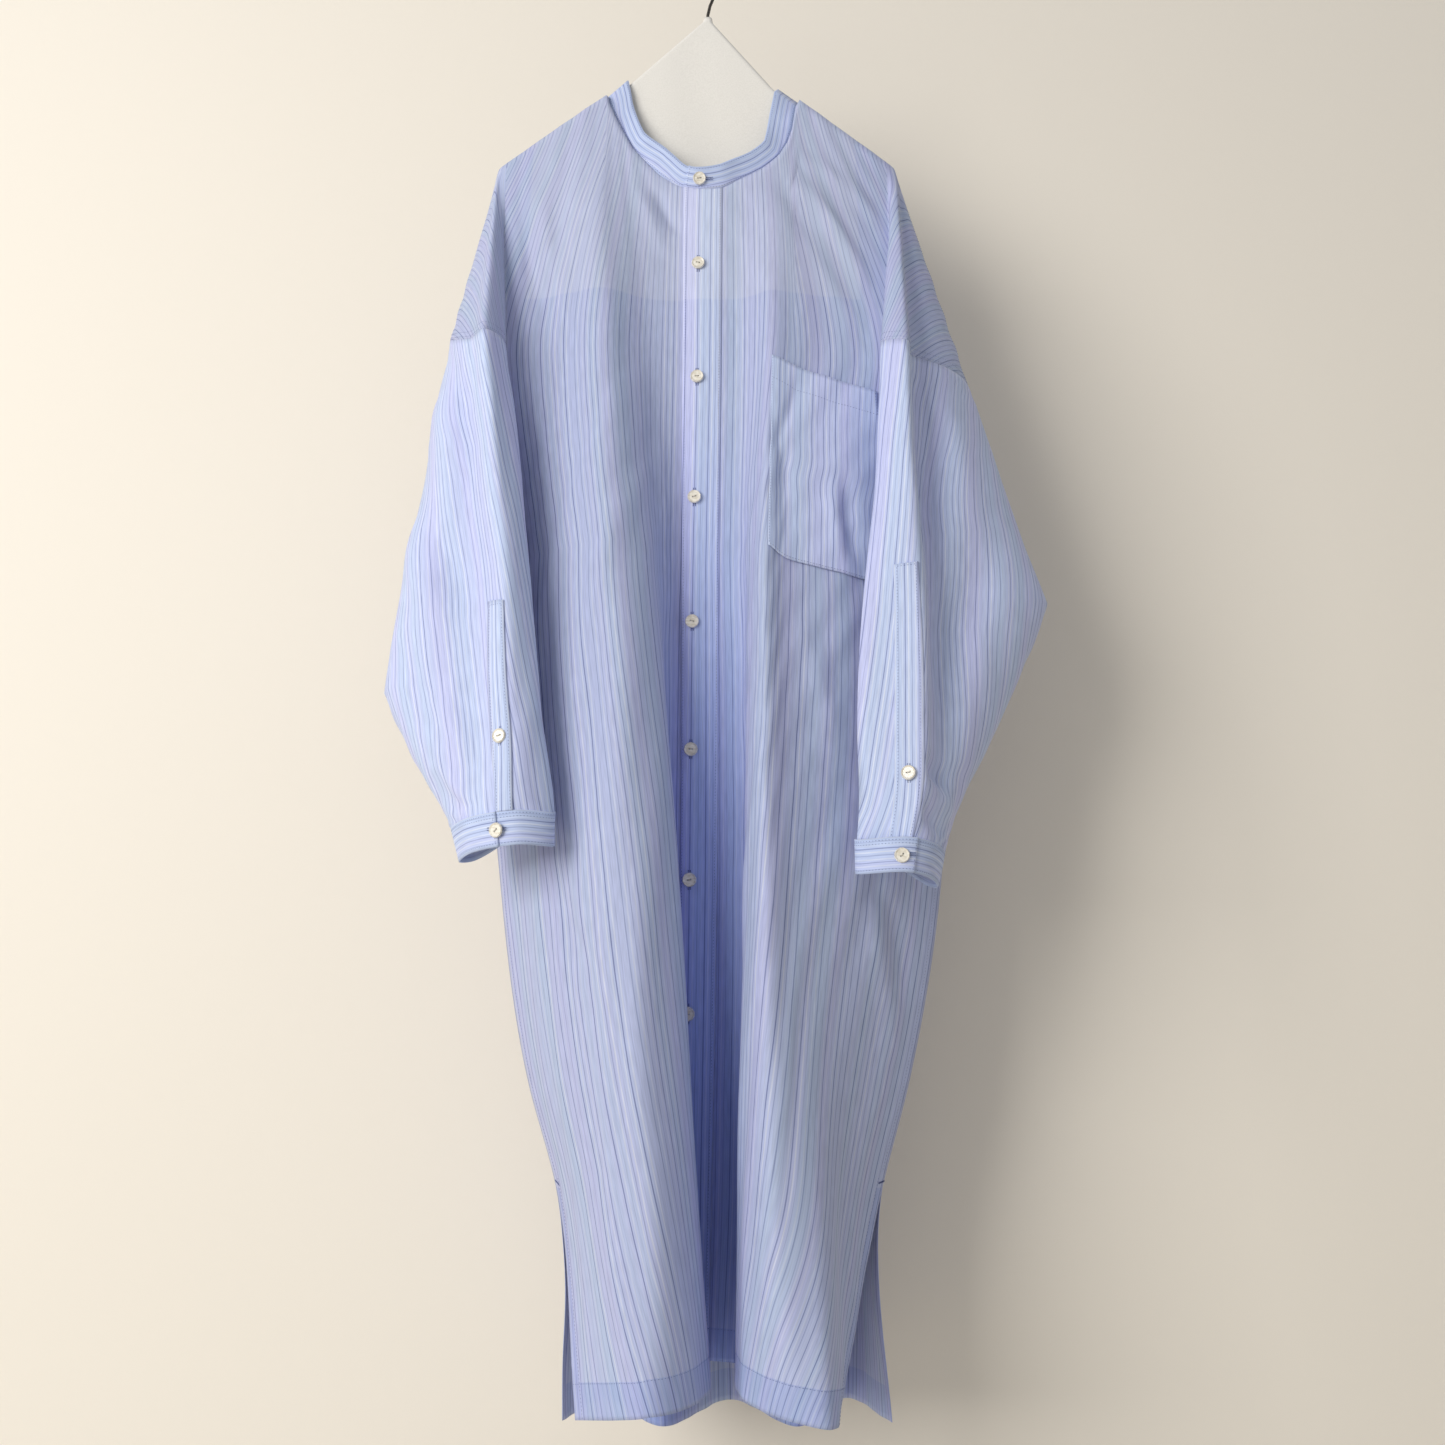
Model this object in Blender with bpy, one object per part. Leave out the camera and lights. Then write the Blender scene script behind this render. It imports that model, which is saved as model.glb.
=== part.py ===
# Band collar shirt dress hanging on its covered hanger.
#
# X runs across the dress with the wearer's left at plus X, the front faces minus Y, Z is up.
# The origin is the inside top of the hook, where a rail carries the hanger.
# Lengths in the tables are millimetres.
import math

import bpy
import numpy as np

MM = 0.001

# Driving sizes
CLOTH = 1.0
SEAM_GAP = 0.3
CREVICE_EASE = 1.2
CREVICE_LEAN = 0.25
CREVICE_TURN = 0.85
LAP = 1.5
CUFF_HEIGHT = 25.5
SLIT_TOP = -1130.0
ARMHOLE_TURN = -450.0
UNDERARM = -620.0
SHOULDER_ROLL = 11.0
BUTTON_FRONT_TOP = -345.5
BUTTON_SPACING = 108.4
BUTTON_FRONT_COUNT = 7
HOOK_RADIUS = 20.0
WIRE_RADIUS = 1.5
BAR_RADIUS = 3.2
COVER_WALL = 1.0
COVER_HALF_DEPTH = 5.0
COVER_BOTTOM = -380.0

# Heights of the body sections: neck point, yoke, chest, armhole, underarm, waist, hip, slit, hem
FRONT_LEVELS = (-150, -200, -300, -450, -620, -850, -1050, -1130, -1290)
BACK_LEVELS = (-150, -200, -300, -450, -620, -850, -1050, -1130, -1320)

# Front folds from the wearer's right side to the left: x at each front level
FRONT_X = {
    "side_right": (-178, -178, -176, -168, -190, -169, -135, -110, -86),
    "flat_right": (-133, -132, -130, -121, -119, -109, -90, -77, -62),
    "crest_right": (-88, -88, -86, -74, -62, -47, -38, -34, -30),
    "limb_right": (-73, -73, -69, -57, -39, -17, -3, 3, 13),
    "foot_right": (-52, -52, -48, -38, -29, -25, -25, -26, -26),
    "band_edge": (-14, -14, -14, -14, -14, -14, -16, -18, -21),
    "centre": (2, 2, 0, -1, -4, -6, -8, -9, -8),
    "band_seam": (21, 21, 21, 20, 19, 17, 14, 12, 10),
    "foot_left": (33, 33, 34, 36, 37, 38, 38, 40, 46),
    "limb_left": (45, 45, 46, 50, 45, 40, 35, 33, 30),
    "crest_left": (62, 62, 62, 60, 56, 55, 57, 60, 68),
    "fall_left": (93, 93, 90, 84, 72, 72, 81, 88, 96),
    "flat_left": (136, 136, 131, 122, 124, 136, 123, 114, 100),
    "side_left": (172, 172, 172, 172, 200, 207, 171, 147, 101),
}

# The same folds: y at each front level, minus is toward the viewer
FRONT_Y = {
    "side_right": (-10, -10, -22, -38, 3, 10, 5, 0, -50),
    "flat_right": (-14, -16, -30, -46, -52, -60, -63, -64, -74),
    "crest_right": (-16, -20, -42, -62, -78, -92, -98, -100, -98),
    "limb_right": (-17, -20, -36, -50, -58, -60, -53, -46, -24),
    "foot_right": (-20, -22, -31, -36, -31, -16, 2, 10, 22),
    "band_edge": (-26, -27, -31, -31, -20, 1, 15, 21, 32),
    "centre": (-28, -29, -32.5, -32.5, -21, 0.5, 14.5, 20.5, 31.5),
    "band_seam": (-27, -28, -32, -32, -20, 2, 16, 22, 33),
    "foot_left": (-25, -27, -33, -34, -26, -10, 4, 9, 18),
    "limb_left": (-22, -25, -36, -45, -50, -53, -51, -46, -32),
    "crest_left": (-20, -23, -40, -57, -71, -85, -91, -93, -95),
    "fall_left": (-15, -18, -36, -50, -62, -73, -79, -84, -103),
    "flat_left": (-12, -14, -28, -42, -48, -42, -38, -42, -96),
    "side_left": (-10, -10, -20, -36, 3, 10, 5, 0, -84),
}

# Hem height under each front fold
FRONT_HEM = (-1287, -1281, -1273, -1270, -1266, -1263, -1263,
             -1263, -1265, -1268, -1276, -1280, -1281, -1281)

# Back folds from the wearer's left side to the right: x at each back level
BACK_X = {
    "side_left": (172, 172, 172, 172, 200, 207, 171, 147, 152),
    "far_left": (136, 136, 136, 134, 140, 152, 140, 130, 122),
    "near_left": (93, 93, 90, 84, 80, 79, 79, 80, 81),
    "far_centre": (3, 3, 3, 4, 5, 10, 17, 22, 28),
    "near_right": (-88, -88, -84, -74, -64, -50, -40, -34, -27),
    "far_right": (-133, -133, -134, -132, -128, -120, -105, -92, -72),
    "side_right": (-178, -178, -176, -168, -190, -169, -135, -110, -102),
}

# The same folds: y at each back level, plus is toward the wall
BACK_Y = {
    "side_left": (10, 10, 20, 36, 3, 10, 5, 0, 10),
    "far_left": (12, 13, 24, 38, 58, 84, 93, 97, 108),
    "near_left": (12, 13, 20, 24, 26, 26, 30, 32, 30),
    "far_centre": (20, 20, 28, 44, 66, 90, 103, 109, 120),
    "near_right": (12, 13, 20, 24, 26, 26, 32, 33, 30),
    "far_right": (12, 13, 24, 38, 58, 84, 94, 98, 103),
    "side_right": (10, 10, 22, 38, 3, 10, 5, 0, 12),
}
BACK_HEM = (-1303, -1309, -1311, -1313, -1311, -1309, -1302)

# Front neck seam and the band's upper edge above it:
# seam x, y, z, then edge x, y, z, from the right neck point to the left one
NECK_FRONT = (
    (-88, 0, -155, -69, 0, -136),
    (-86.2, -6.5, -157, -67.5, -6, -138),
    (-84.2, -9.5, -166, -66, -9, -146),
    (-77, -11, -184, -62, -12, -168),
    (-62, -17, -217, -51, -21, -203),
    (-36, -25, -251, -27, -29, -229),
    (-18, -28, -264, -12, -33, -246),
    (2, -30, -269, 1, -35, -250),
    (21, -29, -267, 18, -33, -246),
    (37, -26, -256, 31, -31, -238),
    (58, -22, -242, 46, -27, -228),
    (73, -18, -226, 59, -23, -214),
    (84, -13, -203, 64, -15, -188),
    (88.6, -9.5, -172, 69, -9, -154),
    (91, -6.5, -161, 71.5, -6, -145),
    (93, 0, -159, 73, 0, -143),
)

# Back neck seam and upper edge, from the left neck point to the right one
NECK_BACK = (
    (93, 0, -159, 73, 0, -143),
    (91, 6.5, -160.5, 71, 6, -143),
    (86.6, 11, -163, 67, 10, -142),
    (50, 20, -172, 42, 18, -145),
    (3, 24, -176, 2, 22, -149),
    (-46, 20, -170, -39, 18, -143),
    (-81.6, 11, -160, -63, 10, -136),
    (-86.2, 6.5, -156.5, -67.5, 6, -136.5),
    (-88, 0, -155, -69, 0, -136),
)

# Shoulder seam ends: neck point, then the end of the hanger's slope, as x and z
SHOULDER = {"right": ((-88, -155), (-186, -230)), "left": ((93, -159), (180, -229))}

# The dropped shoulder fans out from the hanger's end. For each side, the fold lines from the front
# crevice round to the back: share of the way down the outer edge where a line starts
FAN_START = {"limb": 0.0, "ridge": 0.02, "dip": 0.05, "swell": 0.09, "outer": 0.14,
             "swell_back": 0.09, "ridge_back": 0.03}
# and the x, y, z where it meets the sleeve seam
FAN_END = {
    "right": {"limb": (-165, -68, -437), "ridge": (-178, -90, -438), "dip": (-192, -70, -436),
              "swell": (-208, -50, -427), "outer": (-223, 0, -408), "swell_back": (-213, 44, -428),
              "ridge_back": (-194, 58, -444)},
    "left": {"limb": (156, -80, -444), "ridge": (173, -92, -449), "dip": (183, -58, -446),
             "swell": (212, -44, -449), "outer": (241, 0, -450), "swell_back": (228, 44, -456),
             "ridge_back": (206, 54, -462)},
}
# How far each fan line bows out from its straight run near the top
FAN_BOW = {"limb": -7.0, "ridge": -6.0, "dip": -5.0, "swell": -3.0, "outer": 0.0,
           "swell_back": 3.0, "ridge_back": 6.0}

# Sleeve rings down the arm: height of the outer side, height of the underarm side,
# then x, y of each fold line round the sleeve
SLEEVE_RINGS = {
    "right": (
        (-505, -665, ((-212, 2), (-160, -54), (-147, -76), (-163, -96), (-187, -68), (-215, -54),
                      (-237, 0), (-228, 44), (-210, 54), (-200, 36))),
        (-620, -715, ((-206, -10), (-150, -58), (-135, -80), (-151, -99), (-178, -72), (-222, -60),
                      (-252, -2), (-241, 38), (-220, 40), (-205, 18))),
        (-733, -765, ((-186, -30), (-143, -61), (-124, -84), (-143, -102), (-176, -78), (-222, -65),
                      (-264, -5), (-242, 24), (-214, 12), (-194, -12))),
        (-795, -800, ((-162, -47), (-132, -67), (-116, -87), (-137, -104), (-170, -86), (-205, -71),
                      (-230, -28), (-216, -6), (-194, -14), (-176, -33))),
        (-832, -815, ((-146, -53), (-126, -68), (-111, -87), (-136, -105), (-163, -95), (-190, -77),
                      (-206, -45), (-195, -26), (-176, -29), (-159, -43))),
        (-854, -826, ((-140, -57), (-124, -69), (-109, -87), (-135, -105), (-161, -98), (-181, -80),
                      (-193, -54), (-184, -38), (-168, -40), (-153, -49))),
    ),
    "left": (
        (-520, -665, ((220, 2), (166, -54), (149, -80), (173, -95), (185, -60), (226, -48),
                      (261, 0), (247, 42), (226, 48), (214, 28))),
        (-600, -715, ((216, -12), (158, -60), (139, -82), (176, -98), (189, -60), (242, -50),
                      (284, 0), (265, 38), (238, 36), (218, 12))),
        (-653, -765, ((202, -32), (160, -61), (133, -84), (178, -99), (190, -62), (250, -50),
                      (300, -4), (273, 26), (240, 16), (215, -8))),
        (-762, -796, ((186, -46), (152, -66), (127, -86), (178, -101), (189, -74), (222, -61),
                      (250, -20), (236, 2), (213, -6), (200, -26))),
        (-842, -838, ((166, -52), (142, -66), (126, -86), (173, -103), (185, -88), (198, -70),
                      (207, -41), (200, -22), (188, -26), (176, -38))),
        (-874, -850, ((157, -52), (138, -65), (125, -86), (166, -104), (181, -93), (190, -77),
                      (195, -58), (190, -41), (180, -35), (168, -40))),
    ),
}
# How far each fold line has dropped from the outer height toward the underarm height
RING_DROP = (1.0, 0.6, 0.3, 0.26, 0.18, 0.1, 0.0, 0.12, 0.4, 0.7)

# Columns between neighbouring fold lines, and rows down the cloth
FRONT_STEPS = (3, 3, (0.12, 0.25, 0.6, 1.0), 3, 1, 1, 1, 1, 2, 2,
               (0.3, 0.52, 0.7, 0.86, 0.935, 1.0), 3, 3)
BACK_STEPS = (3, 3, (0.022, 0.07, 0.25, 0.5, 0.75, 1.0), (0.25, 0.5, 0.75, 0.93, 0.98, 1.0), 3, 3)
FAN_STEPS = (1, 1, 2, 2, 2, 2, 2, 2)
ROWS_TO_ARMHOLE = 5
ROWS_TO_UNDERARM = 3
ROWS_TO_SLIT = 6
ROWS_TO_HEM = 5
SLEEVE_ROWS = (2, 2, 2, 2, 2, 2)
CUFF_ROWS = 2

# The chest pocket: front column numbers at its edges, heights of its corners
POCKET_COLUMNS = (10.15, 12.62)
POCKET_TOP = (-446.0, -470.0)
POCKET_BOTTOM = (-622.0, -646.0)
# Sleeve plackets: ring column numbers of both edges, and their top heights as ring numbers
PLACKET_COLUMNS = {"right": (3.12, 3.62), "left": (2.55, 2.98)}
PLACKET_TOP_RING = {"right": 2.35, "left": 2.3}
PLACKET_BUTTON_RING = {"right": 3.85, "left": 4.65}
# Where the cuff laps: ring column number of the free end
CUFF_END = {"right": 3.6, "left": 3.15}
CUFF_BUTTON = {"right": 3.2, "left": 2.85}
CUFF_LAP = 1.0
# where the lapping end has come down to the cuff, counted in laps
LAP_END = 2.1

PANEL_BLUE = (0.42, 0.50, 0.80)
BAND_BLUE = (0.40, 0.48, 0.79)
SHELL_CREAM = (0.80, 0.75, 0.62)
COVER_WHITE = (0.86, 0.83, 0.76)


# Clear the scene
for old in list(bpy.data.objects):
    bpy.data.objects.remove(old, do_unlink=True)
dress = bpy.data.collections.new("band_collar_shirt_dress")
cutters = bpy.data.collections.new("cutters")
bpy.context.scene.collection.children.link(dress)
bpy.context.scene.collection.children.link(cutters)


# Curves through fold lines
def at_index(values, index):
    """Entry of each row of a table at a whole number that may run past its ends."""
    index = np.clip(index, 0, values.shape[1] - 1)
    if values.ndim == 2:
        return np.take_along_axis(values, index[:, None], 1)[:, 0]
    return np.take_along_axis(values, index[:, None, None], 1)[:, 0, :]


def spline(knots, points, index):
    """Smooth curve through points at their knots, read at a fractional point number."""
    count = knots.shape[1]
    i = np.clip(np.floor(index).astype(int), 0, count - 2)
    f = (index - i)[:, None]
    k0, k1, k2, k3 = (at_index(knots, i + j)[:, None] for j in (-1, 0, 1, 2))
    p0, p1, p2, p3 = (at_index(points, i + j) for j in (-1, 0, 1, 2))
    near = 1e-9
    step = np.maximum(k2 - k1, near)
    slope = (p2 - p1) / step
    before = (p1 - p0) / np.maximum(k1 - k0, near)
    after = (p3 - p2) / np.maximum(k3 - k2, near)
    m1 = np.where((i == 0)[:, None], slope, (before * step + slope * (k1 - k0)) / np.maximum(k2 - k0, near))
    m2 = np.where((i == count - 2)[:, None], slope,
                  (slope * (k3 - k2) + after * step) / np.maximum(k3 - k1, near))
    return ((2 * f**3 - 3 * f**2 + 1) * p1 + (f**3 - 2 * f**2 + f) * step * m1
            + (3 * f**2 - 2 * f**3) * p2 + (f**3 - f**2) * step * m2)


def chords(points):
    """Running length along each row of points."""
    steps = np.linalg.norm(np.diff(points, axis=1), axis=2)
    return np.concatenate([np.zeros((len(points), 1)), np.cumsum(steps, axis=1)], axis=1)


def columns(steps):
    """Fold line numbers: a span holds either a count of even steps or the shares where lines go."""
    numbers = [0.0]
    for start, span in enumerate(steps):
        shares = span if isinstance(span, tuple) else [(k + 1) / span for k in range(span)]
        numbers += [start + share for share in shares]
    return np.array(numbers)


class Folds:
    """A body section that changes from level to level, read at a fold line number and a height."""

    def __init__(self, levels, xs, ys):
        self.levels = -np.array(levels, float)
        self.count = len(xs)
        self.table = np.stack([np.array(list(xs.values()), float), np.array(list(ys.values()), float)], 2)
        self.names = list(xs)

    def at(self, u, z):
        u, z = np.broadcast_arrays(np.asarray(u, float), np.asarray(z, float))
        shape = u.shape
        u, z = u.ravel(), z.ravel()
        place = np.interp(-z, self.levels, np.arange(len(self.levels)))
        rows = self.table.transpose(1, 0, 2).reshape(len(self.levels), -1)
        many = len(z)
        knots = np.broadcast_to(self.levels, (many, len(self.levels)))
        folds = spline(knots, np.broadcast_to(rows, (many,) + rows.shape), place)
        folds = folds.reshape(many, self.count, 2)
        xy = spline(chords(folds), folds, u)
        return np.concatenate([xy, z[:, None]], 1).reshape(shape + (3,))


FRONT = Folds(FRONT_LEVELS, FRONT_X, FRONT_Y)
BACK = Folds(BACK_LEVELS, BACK_X, BACK_Y)


def neck_at(table, x):
    """Seam y, seam z and upper edge point over a seam x, from a neck table."""
    rows = np.array(sorted(table), float)
    place = np.interp(x, rows[:, 0], np.arange(len(rows)))
    many = len(place)
    knots = np.concatenate([[0], np.cumsum(np.linalg.norm(np.diff(rows[:, :3], axis=0), axis=1))])
    return spline(np.broadcast_to(knots, (many, len(rows))), np.broadcast_to(rows, (many,) + rows.shape), place)


def top_of(folds, table, u):
    """Top point of each body column: on the neck seam inside it, on the shoulder seam outside."""
    z = np.full(len(u), -200.0)
    for _ in range(4):
        x = folds.at(u, z)[:, 0]
        z_right = np.interp(x, (-186, -88), (-230, -155))
        z_left = np.interp(x, (93, 180), (-159, -229))
        neck = neck_at(table, x)
        inside = (x > -88) & (x < 93)
        z = np.where(inside, neck[:, 2], np.where(x < 0, z_right, z_left))
        y = np.where(inside, neck[:, 1], 0.0)
    return np.stack([x, y, z], 1)


def body_grid(folds, table, u, hem, side_hem_rows):
    """Rows of points down the body: top, shoulder roll, armhole, underarm, slit, hem."""
    top = top_of(folds, table, u)
    hem_z = np.interp(u, np.arange(folds.count), hem)
    roll = [0.0, 0.3 * SHOULDER_ROLL, SHOULDER_ROLL]
    heights = [top[:, 2] - drop for drop in roll]
    start = heights[-1]
    for k in range(1, ROWS_TO_ARMHOLE + 1):
        heights.append(start + (ARMHOLE_TURN - start) * k / ROWS_TO_ARMHOLE)
    for k in range(1, ROWS_TO_UNDERARM + 1):
        heights.append(np.full(len(u), ARMHOLE_TURN + (UNDERARM - ARMHOLE_TURN) * k / ROWS_TO_UNDERARM))
    for k in range(1, ROWS_TO_SLIT + 1):
        heights.append(np.full(len(u), UNDERARM + (SLIT_TOP - UNDERARM) * k / ROWS_TO_SLIT))
    for k in range(1, side_hem_rows + 1):
        heights.append(SLIT_TOP + (hem_z - SLIT_TOP) * k / side_hem_rows)
    rows = []
    for z in heights:
        points = folds.at(u, z)
        fall = np.clip((top[:, 2] - z) / SHOULDER_ROLL, 0, 1)
        arc = np.sqrt(1 - (1 - fall) ** 2)
        first = folds.at(u, top[:, 2])
        points[:, 1] += (top[:, 1] - first[:, 1]) * (1 - arc)
        rows.append(points)
    return np.array(rows)


def lifted(folds, grid, u, lift):
    """The same grid moved out from the folds along the cloth's own outward direction."""
    step = 0.02
    ahead = folds.at(np.clip(u + step, 0, folds.count - 1)[None, :], grid[..., 2])
    behind = folds.at(np.clip(u - step, 0, folds.count - 1)[None, :], grid[..., 2])
    lower = folds.at(u[None, :], grid[..., 2] - 5.0)
    along = ahead - behind
    down = lower - folds.at(u[None, :], grid[..., 2])
    out = np.cross(down, along)
    out /= np.linalg.norm(out, axis=2, keepdims=True)
    return grid + out * np.asarray(lift)[..., None]


ROW_ARMHOLE = 2 + ROWS_TO_ARMHOLE
ROW_UNDERARM = ROW_ARMHOLE + ROWS_TO_UNDERARM
ROW_SLIT = ROW_UNDERARM + ROWS_TO_SLIT

front_u = columns(FRONT_STEPS)
back_u = columns(BACK_STEPS)
front = body_grid(FRONT, NECK_FRONT, front_u, FRONT_HEM, ROWS_TO_HEM)
back = body_grid(BACK, NECK_BACK, back_u, BACK_HEM, ROWS_TO_HEM)
names = FRONT.names
U_EDGE = float(names.index("band_edge"))
U_SEAM = float(names.index("band_seam"))
U_LIMB_LEFT = float(names.index("limb_left"))
# Front and back meet along the side seams from the underarm to the slits
back[ROW_UNDERARM:ROW_SLIT + 1, 0] = front[ROW_UNDERARM:ROW_SLIT + 1, -1]
back[ROW_UNDERARM:ROW_SLIT + 1, -1] = front[ROW_UNDERARM:ROW_SLIT + 1, 0]
# and along the shoulder seams from the neck points to the ends of the hanger
SHOULDER_COLUMNS = sum(BACK_STEPS[:2]) + 1
back[0, :SHOULDER_COLUMNS] = front[0, -SHOULDER_COLUMNS:][::-1]
back[0, -SHOULDER_COLUMNS:] = front[0, :SHOULDER_COLUMNS][::-1]


def fan_grid(side, front_edge, back_edge):
    """Dropped shoulder from the front crevice over the outer seam to the back crevice."""
    tip_x, tip_z = SHOULDER[side][1]
    end = FAN_END[side]
    tip = np.array([tip_x, 0.0, tip_z])
    outer = np.array(end["outer"], float)
    u = columns(FAN_STEPS)
    rows = []
    first_z = front_edge[0, 2]
    for row in range(ROW_ARMHOLE + 1):
        t = (first_z - front_edge[row, 2]) / (first_z - front_edge[ROW_ARMHOLE, 2])
        fall = min(1.0, (first_z - front_edge[row, 2]) / SHOULDER_ROLL)
        arc = math.sqrt(1 - (1 - fall) ** 2)
        line = [front_edge[row]]
        for name, share in FAN_START.items():
            start = tip + (outer - tip) * share
            point = start + (np.array(end[name], float) - start) * t
            point[1] += FAN_BOW[name] * arc * (1 - t)
            line.append(point)
        line.append(back_edge[row])
        line = np.array(line)[None]
        knots = chords(line)
        many = len(u)
        rows.append(spline(np.broadcast_to(knots, (many, line.shape[1])),
                           np.broadcast_to(line, (many,) + line.shape[1:]), u))
    return np.array(rows)


fans = {"right": fan_grid("right", front[:, 0], back[:, -1]),
        "left": fan_grid("left", front[:, -1], back[:, 0])}


def ring_points(side, number, w):
    """Point of a sleeve ring of the table at fold line numbers round it."""
    z_outer, z_under, pairs = SLEEVE_RINGS[side][number]
    ring = np.array([(x, y, z_outer + (z_under - z_outer) * drop)
                     for (x, y), drop in zip(pairs, RING_DROP)])
    closed = np.concatenate([ring[-1:], ring, ring[:2]])[None]
    many = len(w)
    return spline(np.broadcast_to(chords(closed), (many, closed.shape[1])),
                  np.broadcast_to(closed, (many,) + closed.shape[1:]), np.asarray(w) + 1.0)


def sleeve_lines(side):
    """Every ring of a sleeve, the first one being its seam on the body."""
    front_edge = front[:, 0] if side == "right" else front[:, -1]
    back_edge = back[:, -1] if side == "right" else back[:, 0]
    fan = fans[side]
    crevice = slice(ROW_ARMHOLE + 1, ROW_UNDERARM + 1)
    seam = np.concatenate([front_edge[crevice][::-1], fan[ROW_ARMHOLE], back_edge[crevice]])
    near = np.arange(ROWS_TO_UNDERARM) / ROWS_TO_UNDERARM
    w = np.concatenate([near, 1 + columns(FAN_STEPS), 10 - near[::-1]])
    rings = [seam] + [ring_points(side, n, w) for n in range(len(SLEEVE_RINGS[side]))]
    return w, np.array(rings)


def along_rings(rings, place):
    """Points at a ring number that may lie between two rings, for every column."""
    lines = rings.transpose(1, 0, 2)
    return spline(chords(lines), lines, np.broadcast_to(float(place), (lines.shape[0],)))


def sleeve_grid(side):
    w, rings = sleeve_lines(side)
    places = columns(SLEEVE_ROWS)
    grid = np.array([along_rings(rings, place) for place in places])
    grid[:, -1] = grid[:, 0]
    return w, rings, grid


# Net of shared seam points
def key(point):
    return tuple(int(round(value * 50)) for value in point)


class Net:
    """Faces of all pieces on shared points, so that neighbours meet on the same seam."""

    def __init__(self):
        self.index = {}
        self.points = []
        self.faces = {}

    def corner(self, point):
        name = key(point)
        if name not in self.index:
            self.index[name] = len(self.points)
            self.points.append(np.array(point, float))
        return self.index[name]

    def span(self, a, b):
        return float(np.linalg.norm(self.points[a] - self.points[b]))

    def add(self, piece, grid, flip=False):
        """Triangles over a grid of points, each cell cut along its shorter diagonal."""
        ids = [[self.corner(point) for point in row] for row in grid]
        faces = self.faces.setdefault(piece, [])
        for r in range(len(ids) - 1):
            for c in range(len(ids[0]) - 1):
                a, b, d, e = ids[r][c], ids[r + 1][c], ids[r + 1][c + 1], ids[r][c + 1]
                if self.span(a, d) <= self.span(b, e):
                    halves = [[a, b, d], [a, d, e]]
                else:
                    halves = [[a, b, e], [b, d, e]]
                for half in halves:
                    if len(set(half)) == 3:
                        faces.append(half[::-1] if flip else half)

    def normals(self, only=None):
        """Outward direction at every point, from all pieces or from one of them."""
        out = np.zeros((len(self.points), 3))
        points = np.array(self.points)
        for piece, faces in self.faces.items():
            for face in faces if only in (None, piece) else ():
                normal = np.zeros(3)
                for k in range(3):
                    normal += np.cross(points[face[k - 1]], points[face[k]])
                for corner in face:
                    out[corner] += normal
        return out / np.maximum(np.linalg.norm(out, axis=1, keepdims=True), 1e-9)


def material(name, colour, roughness, metallic=0.0):
    made = bpy.data.materials.new(name)
    made.use_nodes = True
    shader = made.node_tree.nodes["Principled BSDF"]
    shader.inputs["Base Color"].default_value = (*colour, 1.0)
    shader.inputs["Roughness"].default_value = roughness
    shader.inputs["Metallic"].default_value = metallic
    made.diffuse_color = (*colour, 1.0)
    return made


def add_object(name, points, faces, colour, roughness, metallic=0.0):
    mesh = bpy.data.meshes.new(name)
    mesh.from_pydata([tuple(float(v) * MM for v in p) for p in points], [], [list(f) for f in faces])
    mesh.validate()
    mesh.materials.append(material(name + "_finish", colour, roughness, metallic))
    made = bpy.data.objects.new(name, mesh)
    dress.objects.link(made)
    return made


def shell(name, net, piece, normals, colour, thick=CLOTH, gap=SEAM_GAP, roughness=0.85, eased=None):
    """Closed wall of cloth from the piece's faces, its edges drawn back for the seam gap.

    Corners named in eased are drawn back further, by the length given for each. Where a seam lies
    at the bottom of a crevice, the wall grows inward from it, clear of the neighbour's wall.
    """
    faces = net.faces[piece]
    used = sorted({corner for face in faces for corner in face})
    place = {corner: k for k, corner in enumerate(used)}
    points = np.array([net.points[corner] for corner in used])
    out = normals[used]
    own = net.normals(piece)[used]
    edges = {}
    for face in faces:
        for k in range(3):
            edges[(place[face[k - 1]], place[face[k]])] = face
    rim = [(a, b) for (a, b) in edges if (b, a) not in edges]
    inward = np.zeros_like(points)
    for a, b in rim:
        centre = np.mean([points[place[c]] for c in edges[(a, b)]], axis=0)
        along = points[b] - points[a]
        along /= np.linalg.norm(along)
        across = centre - (points[a] + points[b]) / 2
        across -= along * across.dot(along)
        across /= np.linalg.norm(across)
        inward[a] += across
        inward[b] += across
    length = np.linalg.norm(inward, axis=1, keepdims=True)
    back_off = np.array([(eased or {}).get(corner, gap / 2) for corner in used])[:, None]
    inward = np.where(length > 1e-6, inward / np.maximum(length, 1e-6), 0.0)
    leans = (out * inward).sum(axis=1) > CREVICE_LEAN
    turned = (out * own).sum(axis=1) < CREVICE_TURN
    crevice = (leans & turned)[:, None]
    points = points + inward * back_off
    outer = points + np.where(crevice, 0.0, out * thick / 2)
    inner = points - np.where(crevice, own * thick, out * thick / 2)
    many = len(points)
    solid = [[place[c] for c in face] for face in faces]
    solid += [[place[c] + many for c in reversed(face)] for face in faces]
    for a, b in rim:
        if used[a] < used[b]:
            solid += [[b, a, b + many], [a, a + many, b + many]]
        else:
            solid += [[b, a, a + many], [b, a + many, b + many]]
    return add_object(name, np.concatenate([outer, inner]), solid, colour, roughness)


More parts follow.
